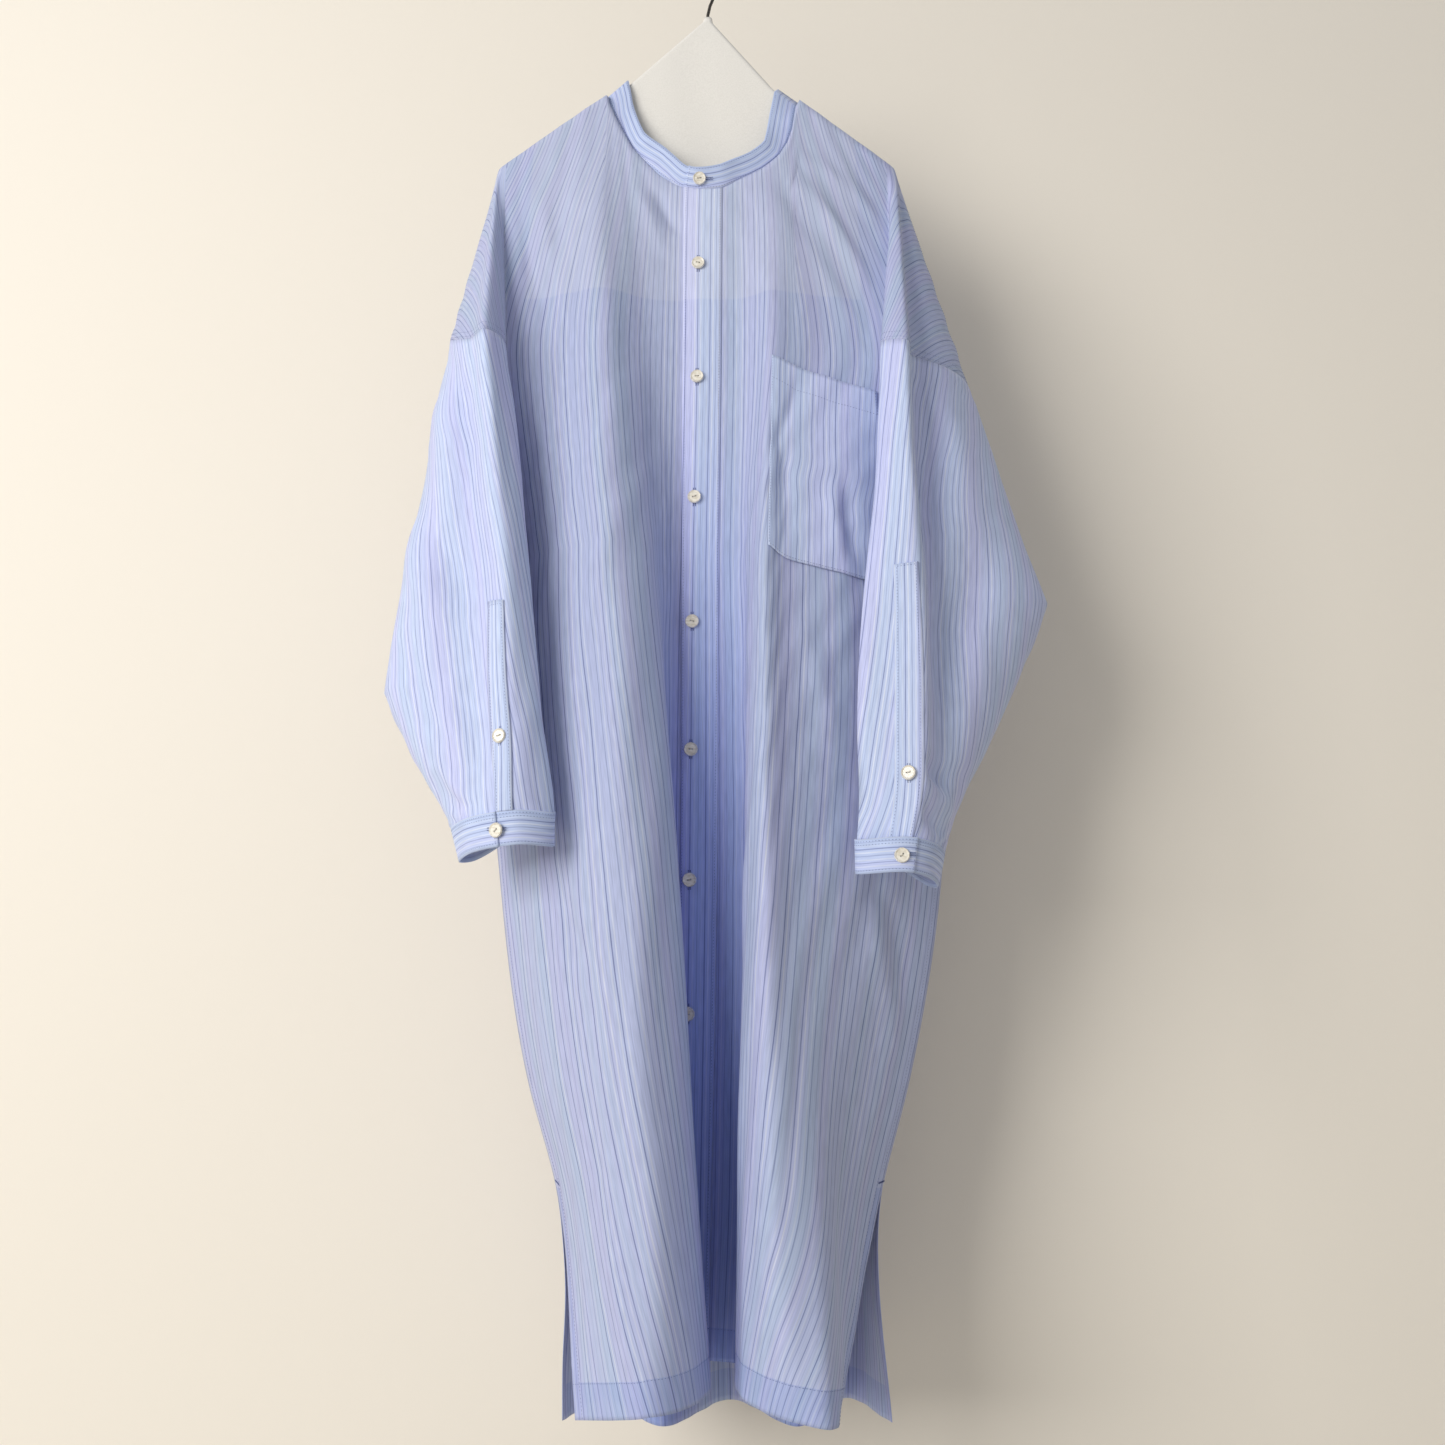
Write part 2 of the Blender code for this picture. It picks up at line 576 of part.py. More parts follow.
# Body, dropped shoulders and sleeves on one net
net = Net()
cut = int(np.argmin(abs(front_u - U_SEAM)))
band_cut = int(np.argmin(abs(front_u - U_EDGE)))
limb_cut = int(np.argmin(abs(front_u - U_LIMB_LEFT)))
right_front = front[:, :cut].copy()
net.add("front_right_panel", right_front)
ramp = np.clip((front_u - U_SEAM) / (U_LIMB_LEFT - U_SEAM), 0, 1)
lift = np.where(front_u >= U_EDGE, LAP * (1 - ramp * ramp * (3 - 2 * ramp)), 0.0)
top_layer = lifted(FRONT, front, front_u, lift)
net.add("button_band", top_layer[:, band_cut:cut + 1])
left_front = top_layer[:, cut:]
left_front[:, limb_cut - cut:] = front[:, limb_cut:]
net.add("front_left_panel", left_front)
net.add("back_panel", back)

fan_cut = sum(FAN_STEPS[:5])
net.add("front_right_panel", fans["right"][:, :fan_cut + 1], flip=True)
net.add("back_panel", fans["right"][:, fan_cut:], flip=True)
net.add("front_left_panel", fans["left"][:, :fan_cut + 1])
net.add("back_panel", fans["left"][:, fan_cut:])

sleeves = {}
for side in ("right", "left"):
    w, rings, grid = sleeve_grid(side)
    sleeves[side] = (w, rings, grid)
    net.add("sleeve_" + side, grid, flip=side == "right")

# Band collar: its seam edge is the top row of the body, its upper edge stands above it
neck_right = int(np.argmin(abs(front_u - names.index("crest_right"))))
neck_left = int(np.argmin(abs(front_u - names.index("fall_left"))))
back_left = int(np.argmin(abs(back_u - list(BACK_X).index("near_left"))))
back_right = int(np.argmin(abs(back_u - list(BACK_X).index("near_right"))))


def collar_rows(seam, table):
    """Seam row, middle row and upper edge of a stretch of the collar."""
    upper = neck_at(table, seam[:, 0])[:, 3:6]
    base = neck_at(table, seam[:, 0])[:, :3]
    shift = seam - base
    return np.array([upper + shift, (upper + seam + shift) / 2, seam])


under_lap = collar_rows(right_front[0, neck_right:], NECK_FRONT)
behind = collar_rows(back[0, back_left:back_right + 1], NECK_BACK)
over = collar_rows(top_layer[0, band_cut:neck_left + 1], NECK_FRONT)
net.add("collar_band", under_lap)
net.add("collar_band", over)
net.add("collar_band", behind)

shared = net.normals()
for piece in ("front_right_panel", "front_left_panel", "back_panel"):
    shell(piece, net, piece, shared, PANEL_BLUE)
for side, (w, rings, grid) in sleeves.items():
    tight = [point for point, number in zip(grid[0], w) if number < 1.01 or number > 8.99]
    eased = {net.corner(point): CREVICE_EASE for point in tight}
    shell("sleeve_" + side, net, "sleeve_" + side, shared, PANEL_BLUE, eased=eased)
shell("button_band", net, "button_band", shared, BAND_BLUE)
shell("collar_band", net, "collar_band", shared, BAND_BLUE)


def layer(name, grid, colour, flip=False, thick=CLOTH):
    """A strip or patch of its own, closed all round."""
    own = Net()
    own.add(name, grid, flip)
    return shell(name, own, name, own.normals(), colour, thick, 0.0)


# Chest pocket, moved out from the left front
pocket_u = np.linspace(*POCKET_COLUMNS, 11)
share = (pocket_u - POCKET_COLUMNS[0]) / (POCKET_COLUMNS[1] - POCKET_COLUMNS[0])
pocket_z = np.array([(1 - t) * (POCKET_TOP[0] * (1 - share) + POCKET_TOP[1] * share)
                     + t * (POCKET_BOTTOM[0] * (1 - share) + POCKET_BOTTOM[1] * share)
                     for t in np.linspace(0, 1, 9)])
pocket = FRONT.at(pocket_u[None, :], pocket_z)
layer("chest_pocket", lifted(FRONT, pocket, pocket_u, np.full(pocket_z.shape, LAP + 0.7)), BAND_BLUE)


def sleeve_at(side, w, place):
    """Point and outward direction on a sleeve at fold line numbers and a ring number."""
    fine = sleeves[side][1]
    known = sleeves[side][0]
    w = np.asarray(w, float)

    def read(columns_read, place_read):
        ring = along_rings(fine, place_read)
        return np.stack([np.interp(columns_read, known, ring[:, k]) for k in range(3)], 1)

    point = read(w, place)
    along = read(w + 0.05, place) - read(w - 0.05, place)
    down = read(w, min(place + 0.05, 6)) - read(w, place - 0.05)
    out = np.cross(down, along)
    out /= np.linalg.norm(out, axis=1, keepdims=True)
    return point, out if side == "left" else -out


# Sleeve plackets, moved out from the sleeves
for side in ("right", "left"):
    w = np.linspace(*PLACKET_COLUMNS[side], 4)
    rows = []
    for place in np.linspace(PLACKET_TOP_RING[side], 5.93, 9):
        point, out = sleeve_at(side, w, place)
        rows.append(point + out * (LAP + 0.2))
    layer("sleeve_placket_" + side, np.array(rows), BAND_BLUE, flip=side == "right")

# Cuffs: one strip round the wrist whose end laps over its start
cuffs = {}
for side in ("right", "left"):
    w = np.linspace(0, 10 + CUFF_LAP, 34)
    around = CUFF_END[side] - w if side == "left" else CUFF_END[side] + w
    ring = ring_points(side, 5, np.mod(around, 10.0))
    middle = ring.mean(axis=0)
    limb = 125.0 if side == "left" else -109.0
    rows = []
    for t in np.linspace(0, 1, CUFF_ROWS + 1):
        row = ring.copy()
        row[:, 0] = limb + (row[:, 0] - limb) * (1 - 0.09 * t)
        row[:, 2] -= 0.6 + CUFF_HEIGHT * t
        rows.append(row)
    grid = np.array(rows)
    along = np.gradient(grid, axis=1)
    down = np.gradient(grid, axis=0)
    out = np.cross(down, along)
    out /= np.linalg.norm(out, axis=2, keepdims=True)
    inward = np.sign(((middle - grid) * out * (1, 1, 0)).sum())
    out *= -inward
    first_lap = np.clip(LAP_END - w / CUFF_LAP, 0, 1)
    smooth_lap = first_lap * first_lap * (3 - 2 * first_lap)
    grid = grid + out * (LAP * smooth_lap)[None, :, None]
    cuffs[side] = (grid, out, around)
    flip = float((np.cross(down, along) * out).sum()) < 0
    layer("cuff_" + side, grid, BAND_BLUE, flip=flip)


# Buttons: a turned disc with a raised rim and two thread holes
def button_master():
    profile = ((0.0, 0.0), (4.8, 0.0), (6.0, 1.2), (5.4, 2.6), (4.2, 1.9), (0.0, 1.9))
    around = 12
    points = [(0.0, 0.0, 0.0)]
    faces = []
    for r, z in profile[1:-1]:
        points += [(r * math.cos(2 * math.pi * k / around), r * math.sin(2 * math.pi * k / around), z)
                   for k in range(around)]
    points.append((0.0, 0.0, profile[-1][1]))
    last = len(points) - 1
    for k in range(around):
        n = (k + 1) % around
        faces.append((0, 1 + n, 1 + k))
        for ring in range(len(profile) - 3):
            a = 1 + ring * around
            faces.append((a + k, a + n, a + around + n, a + around + k))
        top = 1 + (len(profile) - 3) * around
        faces.append((last, top + k, top + n))
    return points, faces


button_points, button_faces = button_master()
master = add_object("button_blank", button_points, button_faces, SHELL_CREAM, 0.35)
for number, x in enumerate((-1.25, 1.25)):
    bpy.ops.mesh.primitive_cylinder_add(vertices=6, radius=0.75 * MM, depth=8 * MM, location=(x * MM, 0, 0))
    drill = bpy.context.object
    drill.name = f"thread_hole_{number}"
    for holder in list(drill.users_collection):
        holder.objects.unlink(drill)
    cutters.objects.link(drill)
    drill.hide_render = True
    drill.display_type = "WIRE"
    bore = master.modifiers.new(drill.name, "BOOLEAN")
    bore.operation = "DIFFERENCE"
    bore.solver = "EXACT"
    bore.object = drill
bpy.context.view_layer.update()
ready = bpy.data.meshes.new_from_object(master.evaluated_get(bpy.context.evaluated_depsgraph_get()))
bpy.data.objects.remove(master, do_unlink=True)


def add_button(name, point, out, turn=0.0):
    """Button lying on the cloth at a point, facing out."""
    out = np.asarray(out, float)
    out /= np.linalg.norm(out)
    side_way = np.cross((0, 0, 1.0), out)
    side_way /= np.linalg.norm(side_way)
    up = np.cross(out, side_way)
    cosine, sine = math.cos(turn), math.sin(turn)
    across = side_way * cosine + up * sine
    upright = up * cosine - side_way * sine
    base = np.asarray(point, float) + out * (CLOTH / 2 + 0.45)
    mesh = ready.copy()
    mesh.name = name
    for vertex in mesh.vertices:
        local = np.array(vertex.co) / MM
        vertex.co = (base + across * local[0] + upright * local[1] + out * local[2]) * MM
    mesh.materials.clear()
    mesh.materials.append(material(name + "_finish", SHELL_CREAM, 0.35))
    made = bpy.data.objects.new(name, mesh)
    dress.objects.link(made)
    return made


def front_point(u, z, lift):
    """A point of the front at a fold line number and height, with its outward direction."""
    u = np.array([u], float)
    base = FRONT.at(u, np.array([z]))[None]
    moved = lifted(FRONT, base, u, np.array([[lift]]))
    out = lifted(FRONT, base, u, np.array([[1.0]])) - base
    return moved[0, 0], out[0, 0]


U_CENTRE = float(names.index("centre"))
for number in range(BUTTON_FRONT_COUNT):
    z = BUTTON_FRONT_TOP - BUTTON_SPACING * number
    point, out = front_point(U_CENTRE, z, LAP)
    add_button(f"button_front_{number + 1}", point, out, 0.25 * ((number % 3) - 1))

collar_mid = over[1]
centre_column = int(np.argmin(abs(front_u - U_CENTRE))) - band_cut
collar_out = np.cross(over[2, centre_column] - over[0, centre_column],
                      over[1, centre_column + 1] - over[1, centre_column - 1])
add_button("button_collar", collar_mid[centre_column] + (0, 0, -1.0), collar_out, 0.1)

for side in ("right", "left"):
    point, out = sleeve_at(side, [sum(PLACKET_COLUMNS[side]) / 2], PLACKET_BUTTON_RING[side])
    add_button("button_placket_" + side, point[0] + out[0] * (LAP + 0.2), out[0], 0.2)
    grid, out, around = cuffs[side]
    column = int(np.argmin(abs(around - CUFF_BUTTON[side])))
    add_button("button_cuff_" + side, grid[1, column], out[1, column], 0.8)


# Hanger: bar, hook and the cover over them
def wire(name, path, radius, colour, roughness, metallic, sides):
    """Round rod along a smooth path, made as a bevelled curve with filled ends."""
    curve = bpy.data.curves.new(name + "_path", "CURVE")
    curve.dimensions = "3D"
    curve.bevel_depth = radius * MM
    curve.bevel_resolution = sides
    curve.use_fill_caps = True
    curve.resolution_u = 3
    line = curve.splines.new("POLY")
    line.points.add(len(path) - 1)
    for spot, (x, y, z) in zip(line.points, path):
        spot.co = (x * MM, y * MM, z * MM, 1.0)
    holder = bpy.data.objects.new(name + "_path", curve)
    bpy.context.scene.collection.objects.link(holder)
    bpy.context.view_layer.update()
    mesh = bpy.data.meshes.new_from_object(holder.evaluated_get(bpy.context.evaluated_depsgraph_get()))
    bpy.data.objects.remove(holder, do_unlink=True)
    mesh.name = name
    mesh.materials.clear()
    mesh.materials.append(material(name + "_finish", colour, roughness, metallic))
    made = bpy.data.objects.new(name, mesh)
    dress.objects.link(made)
    return made


STEM_X = 7.0
hook_path = [(STEM_X, 0, -70.5), (STEM_X, 0, -62), (STEM_X + 2, 0, -52), (STEM_X + 6, 0, -41)]
for degrees in range(-35, 211, 15):
    angle = math.radians(degrees)
    hook_path.append((HOOK_RADIUS * math.cos(angle), 0, WIRE_RADIUS - HOOK_RADIUS + HOOK_RADIUS * math.sin(angle)))
wire("hanger_hook", hook_path, WIRE_RADIUS, (0.10, 0.09, 0.08), 0.4, 0.9, 1)

# The top line the dress hangs from: slope ends, neck points and the point under the hook
TOP_LINE = ((-186, -230), (-88, -155), (-69, -136), (STEM_X, -62), (73, -143), (93, -159), (180, -229))


def moved_in(line, distance):
    """The line moved down toward the inside of the hanger by an even distance."""
    spots = [np.array(spot, float) for spot in line]
    made = []
    for k, spot in enumerate(spots):
        before = spot - spots[k - 1] if k else spots[1] - spot
        after = spots[k + 1] - spot if k < len(spots) - 1 else before
        normals = [np.array((step[1], -step[0])) / np.linalg.norm(step) for step in (before, after)]
        across = normals[0] + normals[1]
        made.append(spot + across * distance / (1 + normals[0].dot(normals[1])))
    return made


bar_line = moved_in(TOP_LINE, 10.0)
bar_line[0] = bar_line[0] + (bar_line[1] - bar_line[0]) * 0.10
bar_line[-1] = bar_line[-1] + (bar_line[-2] - bar_line[-1]) * 0.10
wire("hanger_bar", [(x, 0, z) for x, z in bar_line], BAR_RADIUS, (0.62, 0.47, 0.30), 0.55, 0.0, 1)

# Cover sections: height and half depth; its edges follow the top line, then run in to the bottom
cover_line = np.array(moved_in(TOP_LINE, 3.5))
COVER_LEVELS = ((-66, 2.8), (-74, 4.0), (-84, 4.8), (-140, COVER_HALF_DEPTH), (-159, COVER_HALF_DEPTH),
                (-200, COVER_HALF_DEPTH), (-232, COVER_HALF_DEPTH), (-240, COVER_HALF_DEPTH),
                (-300, 4.6), (COVER_BOTTOM, 4.6))
left_heights = [COVER_BOTTOM, -234.0, *cover_line[1:4, 1]]
left_edges = [-151.0, -184.0, *cover_line[1:4, 0]]
right_heights = [COVER_BOTTOM, -232.0, *cover_line[5:2:-1, 1]]
right_edges = [139.0, 178.0, *cover_line[5:2:-1, 0]]
cover_grid = []
for z, half in COVER_LEVELS:
    least = half + 0.8
    ends = (max(np.interp(z, right_heights, right_edges), STEM_X + least),
            min(np.interp(z, left_heights, left_edges), STEM_X - least))
    row = []
    for end, other, first in ((ends[0] - half, ends[1] + half, -90), (ends[1] + half, ends[0] - half, 90)):
        for step in range(5):
            angle = math.radians(first + 45 * step)
            row.append((end + half * math.cos(angle), half * math.sin(angle), z))
        for share in (0.33, 0.67):
            row.append((end + (other - end) * share, half * math.sin(angle), z))
    row.append(row[0])
    cover_grid.append(row)
cover_net = Net()
cover_net.add("hanger_cover", np.array(cover_grid))
shell("hanger_cover", cover_net, "hanger_cover", cover_net.normals(), COVER_WHITE, COVER_WALL, 0.0, 0.9)
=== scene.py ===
# %% [markdown]
# Band collar shirt dress on its covered hanger
#
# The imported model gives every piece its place. This lesson dresses it: each piece of cloth is laid
# again as a fine sheet over the same folds, creased, striped and stitched, and the buttons and the
# hanger get their finish.

# %% Load the frame and keep its size
import math

import bpy
import numpy as np
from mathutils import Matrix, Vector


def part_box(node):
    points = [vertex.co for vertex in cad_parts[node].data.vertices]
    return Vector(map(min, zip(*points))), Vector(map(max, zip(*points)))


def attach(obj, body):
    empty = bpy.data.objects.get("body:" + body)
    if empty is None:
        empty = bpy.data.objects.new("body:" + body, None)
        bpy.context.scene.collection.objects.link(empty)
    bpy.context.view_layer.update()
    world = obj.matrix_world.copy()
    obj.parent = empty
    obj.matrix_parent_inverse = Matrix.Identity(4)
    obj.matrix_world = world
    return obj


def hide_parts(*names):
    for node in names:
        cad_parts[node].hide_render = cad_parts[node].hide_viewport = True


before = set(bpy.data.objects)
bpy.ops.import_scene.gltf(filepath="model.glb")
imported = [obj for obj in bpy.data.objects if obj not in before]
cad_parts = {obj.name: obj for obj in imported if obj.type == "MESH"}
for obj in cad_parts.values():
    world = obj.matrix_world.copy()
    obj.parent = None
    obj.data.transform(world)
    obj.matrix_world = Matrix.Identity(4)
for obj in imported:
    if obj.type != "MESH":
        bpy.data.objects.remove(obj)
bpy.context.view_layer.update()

# %% [markdown]
# Camera
#
# The photograph looks up at the dress from a low point close by. Verticals still run together a
# little toward the top, so the camera is tipped and not shifted.

# %% Place the camera
PHOTO_PIXELS = 1445
FOCAL_PIXELS = 1391
SENSOR_MM = 36.0
CAMERA_PLACE = (0.021, -1.15, -1.0116)
CAMERA_TIP = math.radians(12.6)

camera_data = bpy.data.cameras.new("photo_camera")
camera_data.sensor_width = SENSOR_MM
camera_data.lens = SENSOR_MM * FOCAL_PIXELS / PHOTO_PIXELS
camera = bpy.data.objects.new("photo_camera", camera_data)
camera.location = CAMERA_PLACE
camera.rotation_euler = (math.radians(90) + CAMERA_TIP, 0, 0)
bpy.context.scene.collection.objects.link(camera)
bpy.context.scene.camera = camera
print("lens in millimetres:", round(camera_data.lens, 2))

# %% [markdown]
# Folds of the body
#
# A shirt dress on a hanger falls from the shoulders in a few deep folds. Each fold line runs from
# the top to the hem, so a body section at any height is a smooth curve through the fold lines.
# The tables repeat the solids' own fold lines, in millimetres. Other ways would be a cloth
# simulation, which forgets the folds of the photograph, or sculpting, which no one can read.

# %% Body sections by height
BODY_LEVELS = (-150, -200, -300, -450, -620, -850, -1050, -1130)
FRONT_LEVELS = BODY_LEVELS + (-1290,)
BACK_LEVELS = BODY_LEVELS + (-1320,)

# From the wearer's right side to the left: x at each level
FRONT_X = {
    "side_right": (-178, -178, -176, -168, -190, -169, -135, -110, -86),
    "flat_right": (-133, -132, -130, -121, -119, -109, -90, -77, -62),
    "crest_right": (-88, -88, -86, -74, -62, -47, -38, -34, -30),
    "limb_right": (-73, -73, -69, -57, -39, -17, -3, 3, 13),
    "foot_right": (-52, -52, -48, -38, -29, -25, -25, -26, -26),
    "band_edge": (-14, -14, -14, -14, -14, -14, -16, -18, -21),
    "centre": (2, 2, 0, -1, -4, -6, -8, -9, -8),
    "band_seam": (21, 21, 21, 20, 19, 17, 14, 12, 10),
    "foot_left": (33, 33, 34, 36, 37, 38, 38, 40, 46),
    "limb_left": (45, 45, 46, 50, 45, 40, 35, 33, 30),
    "crest_left": (62, 62, 62, 60, 56, 55, 57, 60, 68),
    "fall_left": (93, 93, 90, 84, 72, 72, 81, 88, 96),
    "flat_left": (136, 136, 131, 122, 124, 136, 123, 114, 100),
    "side_left": (172, 172, 172, 172, 200, 207, 171, 147, 101),
}
# and y, minus being toward the viewer
FRONT_Y = {
    "side_right": (-10, -10, -22, -38, 3, 10, 5, 0, -50),
    "flat_right": (-14, -16, -30, -46, -52, -60, -63, -64, -74),
    "crest_right": (-16, -20, -42, -62, -78, -92, -98, -100, -98),
    "limb_right": (-17, -20, -36, -50, -58, -60, -53, -46, -24),
    "foot_right": (-20, -22, -31, -36, -31, -16, 2, 10, 22),
    "band_edge": (-26, -27, -31, -31, -20, 1, 15, 21, 32),
    "centre": (-28, -29, -32.5, -32.5, -21, 0.5, 14.5, 20.5, 31.5),
    "band_seam": (-27, -28, -32, -32, -20, 2, 16, 22, 33),
    "foot_left": (-25, -27, -33, -34, -26, -10, 4, 9, 18),
    "limb_left": (-22, -25, -36, -45, -50, -53, -51, -46, -32),
    "crest_left": (-20, -23, -40, -57, -71, -85, -91, -93, -95),
    "fall_left": (-15, -18, -36, -50, -62, -73, -79, -84, -103),
    "flat_left": (-12, -14, -28, -42, -48, -42, -38, -42, -96),
    "side_left": (-10, -10, -20, -36, 3, 10, 5, 0, -84),
}
FRONT_HEM = (-1287, -1281, -1273, -1270, -1266, -1263, -1263, -1263, -1265, -1268, -1276, -1280, -1281, -1281)

# The back, from the wearer's left side to the right
BACK_X = {
    "side_left": (172, 172, 172, 172, 200, 207, 171, 147, 152),
    "far_left": (136, 136, 136, 134, 140, 152, 140, 130, 122),
    "near_left": (93, 93, 90, 84, 80, 79, 79, 80, 81),
    "far_centre": (3, 3, 3, 4, 5, 10, 17, 22, 28),
    "near_right": (-88, -88, -84, -74, -64, -50, -40, -34, -27),
    "far_right": (-133, -133, -134, -132, -128, -120, -105, -92, -72),
    "side_right": (-178, -178, -176, -168, -190, -169, -135, -110, -102),
}
BACK_Y = {
    "side_left": (10, 10, 20, 36, 3, 10, 5, 0, 10),
    "far_left": (12, 13, 24, 38, 58, 84, 93, 97, 108),
    "near_left": (12, 13, 20, 24, 26, 26, 30, 32, 30),
    "far_centre": (20, 20, 28, 44, 66, 90, 103, 109, 120),
    "near_right": (12, 13, 20, 24, 26, 26, 32, 33, 30),
    "far_right": (12, 13, 24, 38, 58, 84, 94, 98, 103),
    "side_right": (10, 10, 22, 38, 3, 10, 5, 0, 12),
}
BACK_HEM = (-1303, -1309, -1311, -1313, -1311, -1309, -1302)
print("fold lines, front and back:", len(FRONT_X), len(BACK_X))

# %% Neck and shoulders
# Seam x, y, z, then the collar's upper edge x, y, z, from the right neck point round to the left
NECK_FRONT = (
    (-88, 0, -155, -69, 0, -136),
    (-86.2, -6.5, -157, -67.5, -6, -138),
    (-84.2, -9.5, -166, -66, -9, -146),
    (-77, -11, -184, -62, -12, -168),
    (-62, -17, -217, -51, -21, -203),
    (-36, -25, -251, -27, -29, -229),
    (-18, -28, -264, -12, -33, -246),
    (2, -30, -269, 1, -35, -250),
    (21, -29, -267, 18, -33, -246),
    (37, -26, -256, 31, -31, -238),
    (58, -22, -242, 46, -27, -228),
    (73, -18, -226, 59, -23, -214),
    (84, -13, -203, 64, -15, -188),
    (88.6, -9.5, -172, 69, -9, -154),
    (91, -6.5, -161, 71.5, -6, -145),
    (93, 0, -159, 73, 0, -143),
)
NECK_BACK = (
    (93, 0, -159, 73, 0, -143),
    (91, 6.5, -160.5, 71, 6, -143),
    (86.6, 11, -163, 67, 10, -142),
    (50, 20, -172, 42, 18, -145),
    (3, 24, -176, 2, 22, -149),
    (-46, 20, -170, -39, 18, -143),
    (-81.6, 11, -160, -63, 10, -136),
    (-86.2, 6.5, -156.5, -67.5, 6, -136.5),
    (-88, 0, -155, -69, 0, -136),
)
# Shoulder seam ends as x and z: neck point, then the end of the hanger's slope
SHOULDER = {"right": ((-88, -155), (-186, -230)), "left": ((93, -159), (180, -229))}
print("neck points, front and back:", len(NECK_FRONT), len(NECK_BACK))

# %% [markdown]
# Curves through the fold lines
#
# Fold lines are unevenly spaced, so the curve through them takes the spacing into account. An even
# one would overshoot between two close lines and cut a kink into the cloth.

# %% Smooth curves
def at_index(values, index):
    """Entry of each row at a whole number that may run past the ends."""
    index = np.clip(index, 0, values.shape[1] - 1)
    if values.ndim == 2:
        return np.take_along_axis(values, index[:, None], 1)[:, 0]
    return np.take_along_axis(values, index[:, None, None], 1)[:, 0, :]


def spline(knots, points, index):
    """Smooth curve through points at their knots, read at a fractional point number."""
    count = knots.shape[1]
    i = np.clip(np.floor(index).astype(int), 0, count - 2)
    f = (index - i)[:, None]
    k0, k1, k2, k3 = (at_index(knots, i + j)[:, None] for j in (-1, 0, 1, 2))
    p0, p1, p2, p3 = (at_index(points, i + j) for j in (-1, 0, 1, 2))
    near = 1e-9
    step = np.maximum(k2 - k1, near)
    slope = (p2 - p1) / step
    before = (p1 - p0) / np.maximum(k1 - k0, near)
    after = (p3 - p2) / np.maximum(k3 - k2, near)
    m1 = np.where((i == 0)[:, None], slope, (before * step + slope * (k1 - k0)) / np.maximum(k2 - k0, near))
    m2 = np.where((i == count - 2)[:, None], slope,
                  (slope * (k3 - k2) + after * step) / np.maximum(k3 - k1, near))
    return ((2 * f**3 - 3 * f**2 + 1) * p1 + (f**3 - 2 * f**2 + f) * step * m1
            + (3 * f**2 - 2 * f**3) * p2 + (f**3 - f**2) * step * m2)


def chords(points):
    """Running length along each row of points."""
    steps = np.linalg.norm(np.diff(points, axis=1), axis=2)
    return np.concatenate([np.zeros((len(points), 1)), np.cumsum(steps, axis=1)], axis=1)


def through(line, place):
    """Points of one smooth line at fractional point numbers."""
    line = np.array(line, float)[None]
    many = len(place)
    return spline(np.broadcast_to(chords(line), (many, line.shape[1])),
                  np.broadcast_to(line, (many,) + line.shape[1:]), np.asarray(place, float))


# %% A body section that changes with height
class Folds:
    """A body section that changes with height, read at a fold line number and a height."""

    def __init__(self, levels, xs, ys):
        self.levels = -np.array(levels, float)
        self.names = list(xs)
        self.count = len(xs)
        self.table = np.stack([np.array(list(xs.values()), float), np.array(list(ys.values()), float)], 2)

    def at(self, u, z):
        u, z = np.broadcast_arrays(np.asarray(u, float), np.asarray(z, float))
        shape = u.shape
        u, z = u.ravel(), z.ravel()
        place = np.interp(-z, self.levels, np.arange(len(self.levels)))
        rows = self.table.transpose(1, 0, 2).reshape(len(self.levels), -1)
        many = len(z)
        knots = np.broadcast_to(self.levels, (many, len(self.levels)))
        folds = spline(knots, np.broadcast_to(rows, (many,) + rows.shape), place)
        folds = folds.reshape(many, self.count, 2)
        xy = spline(chords(folds), folds, u)
        return np.concatenate([xy, z[:, None]], 1).reshape(shape + (3,))

    def line(self, name):
        return float(self.names.index(name))

    def columns(self, step, extra=()):
        """Fold line numbers about one step apart along the cloth, every fold line among them."""
        widest = np.linalg.norm(np.diff(self.table, axis=0), axis=2).max(axis=1)
        numbers = [0.0]
        for start, width in enumerate(widest):
            count = max(2, int(math.ceil(width / step)))
            numbers += [start + (k + 1) / count for k in range(count)]
        return np.array(sorted(set(numbers) | set(extra)))


FRONT = Folds(FRONT_LEVELS, FRONT_X, FRONT_Y)
BACK = Folds(BACK_LEVELS, BACK_X, BACK_Y)
for title, folds in (("front", FRONT), ("back", BACK)):
    around = folds.at(np.linspace(0, folds.count - 1, 200)[None], np.array([[-620.0], [-850.0]]))
    print(title, "width of cloth at the underarm and the waist, mm:", chords(around)[:, -1].round(0))

# %% Body grid from neck to hem
# Points of the body lie at most this far apart across, in mm
FINE = 4.2
SHOULDER_ROLL = 11.0
ARMHOLE_TURN = -450.0
UNDERARM = -620.0
SLIT_TOP = -1130.0
ROWS = {"roll": 4, "armhole": 62, "underarm": 42, "slit": 120, "hem": 42}
ROW_ARMHOLE = ROWS["roll"] + ROWS["armhole"]
ROW_UNDERARM = ROW_ARMHOLE + ROWS["underarm"]
ROW_SLIT = ROW_UNDERARM + ROWS["slit"]


def neck_at(table, x):
    """Seam point and upper edge point over a seam x."""
    rows = np.array(sorted(table), float)
    place = np.interp(x, rows[:, 0], np.arange(len(rows)))
    knots = np.concatenate([[0], np.cumsum(np.linalg.norm(np.diff(rows[:, :3], axis=0), axis=1))])
    count = len(place)
    return spline(np.broadcast_to(knots, (count, len(rows))),
                  np.broadcast_to(rows, (count,) + rows.shape), place)


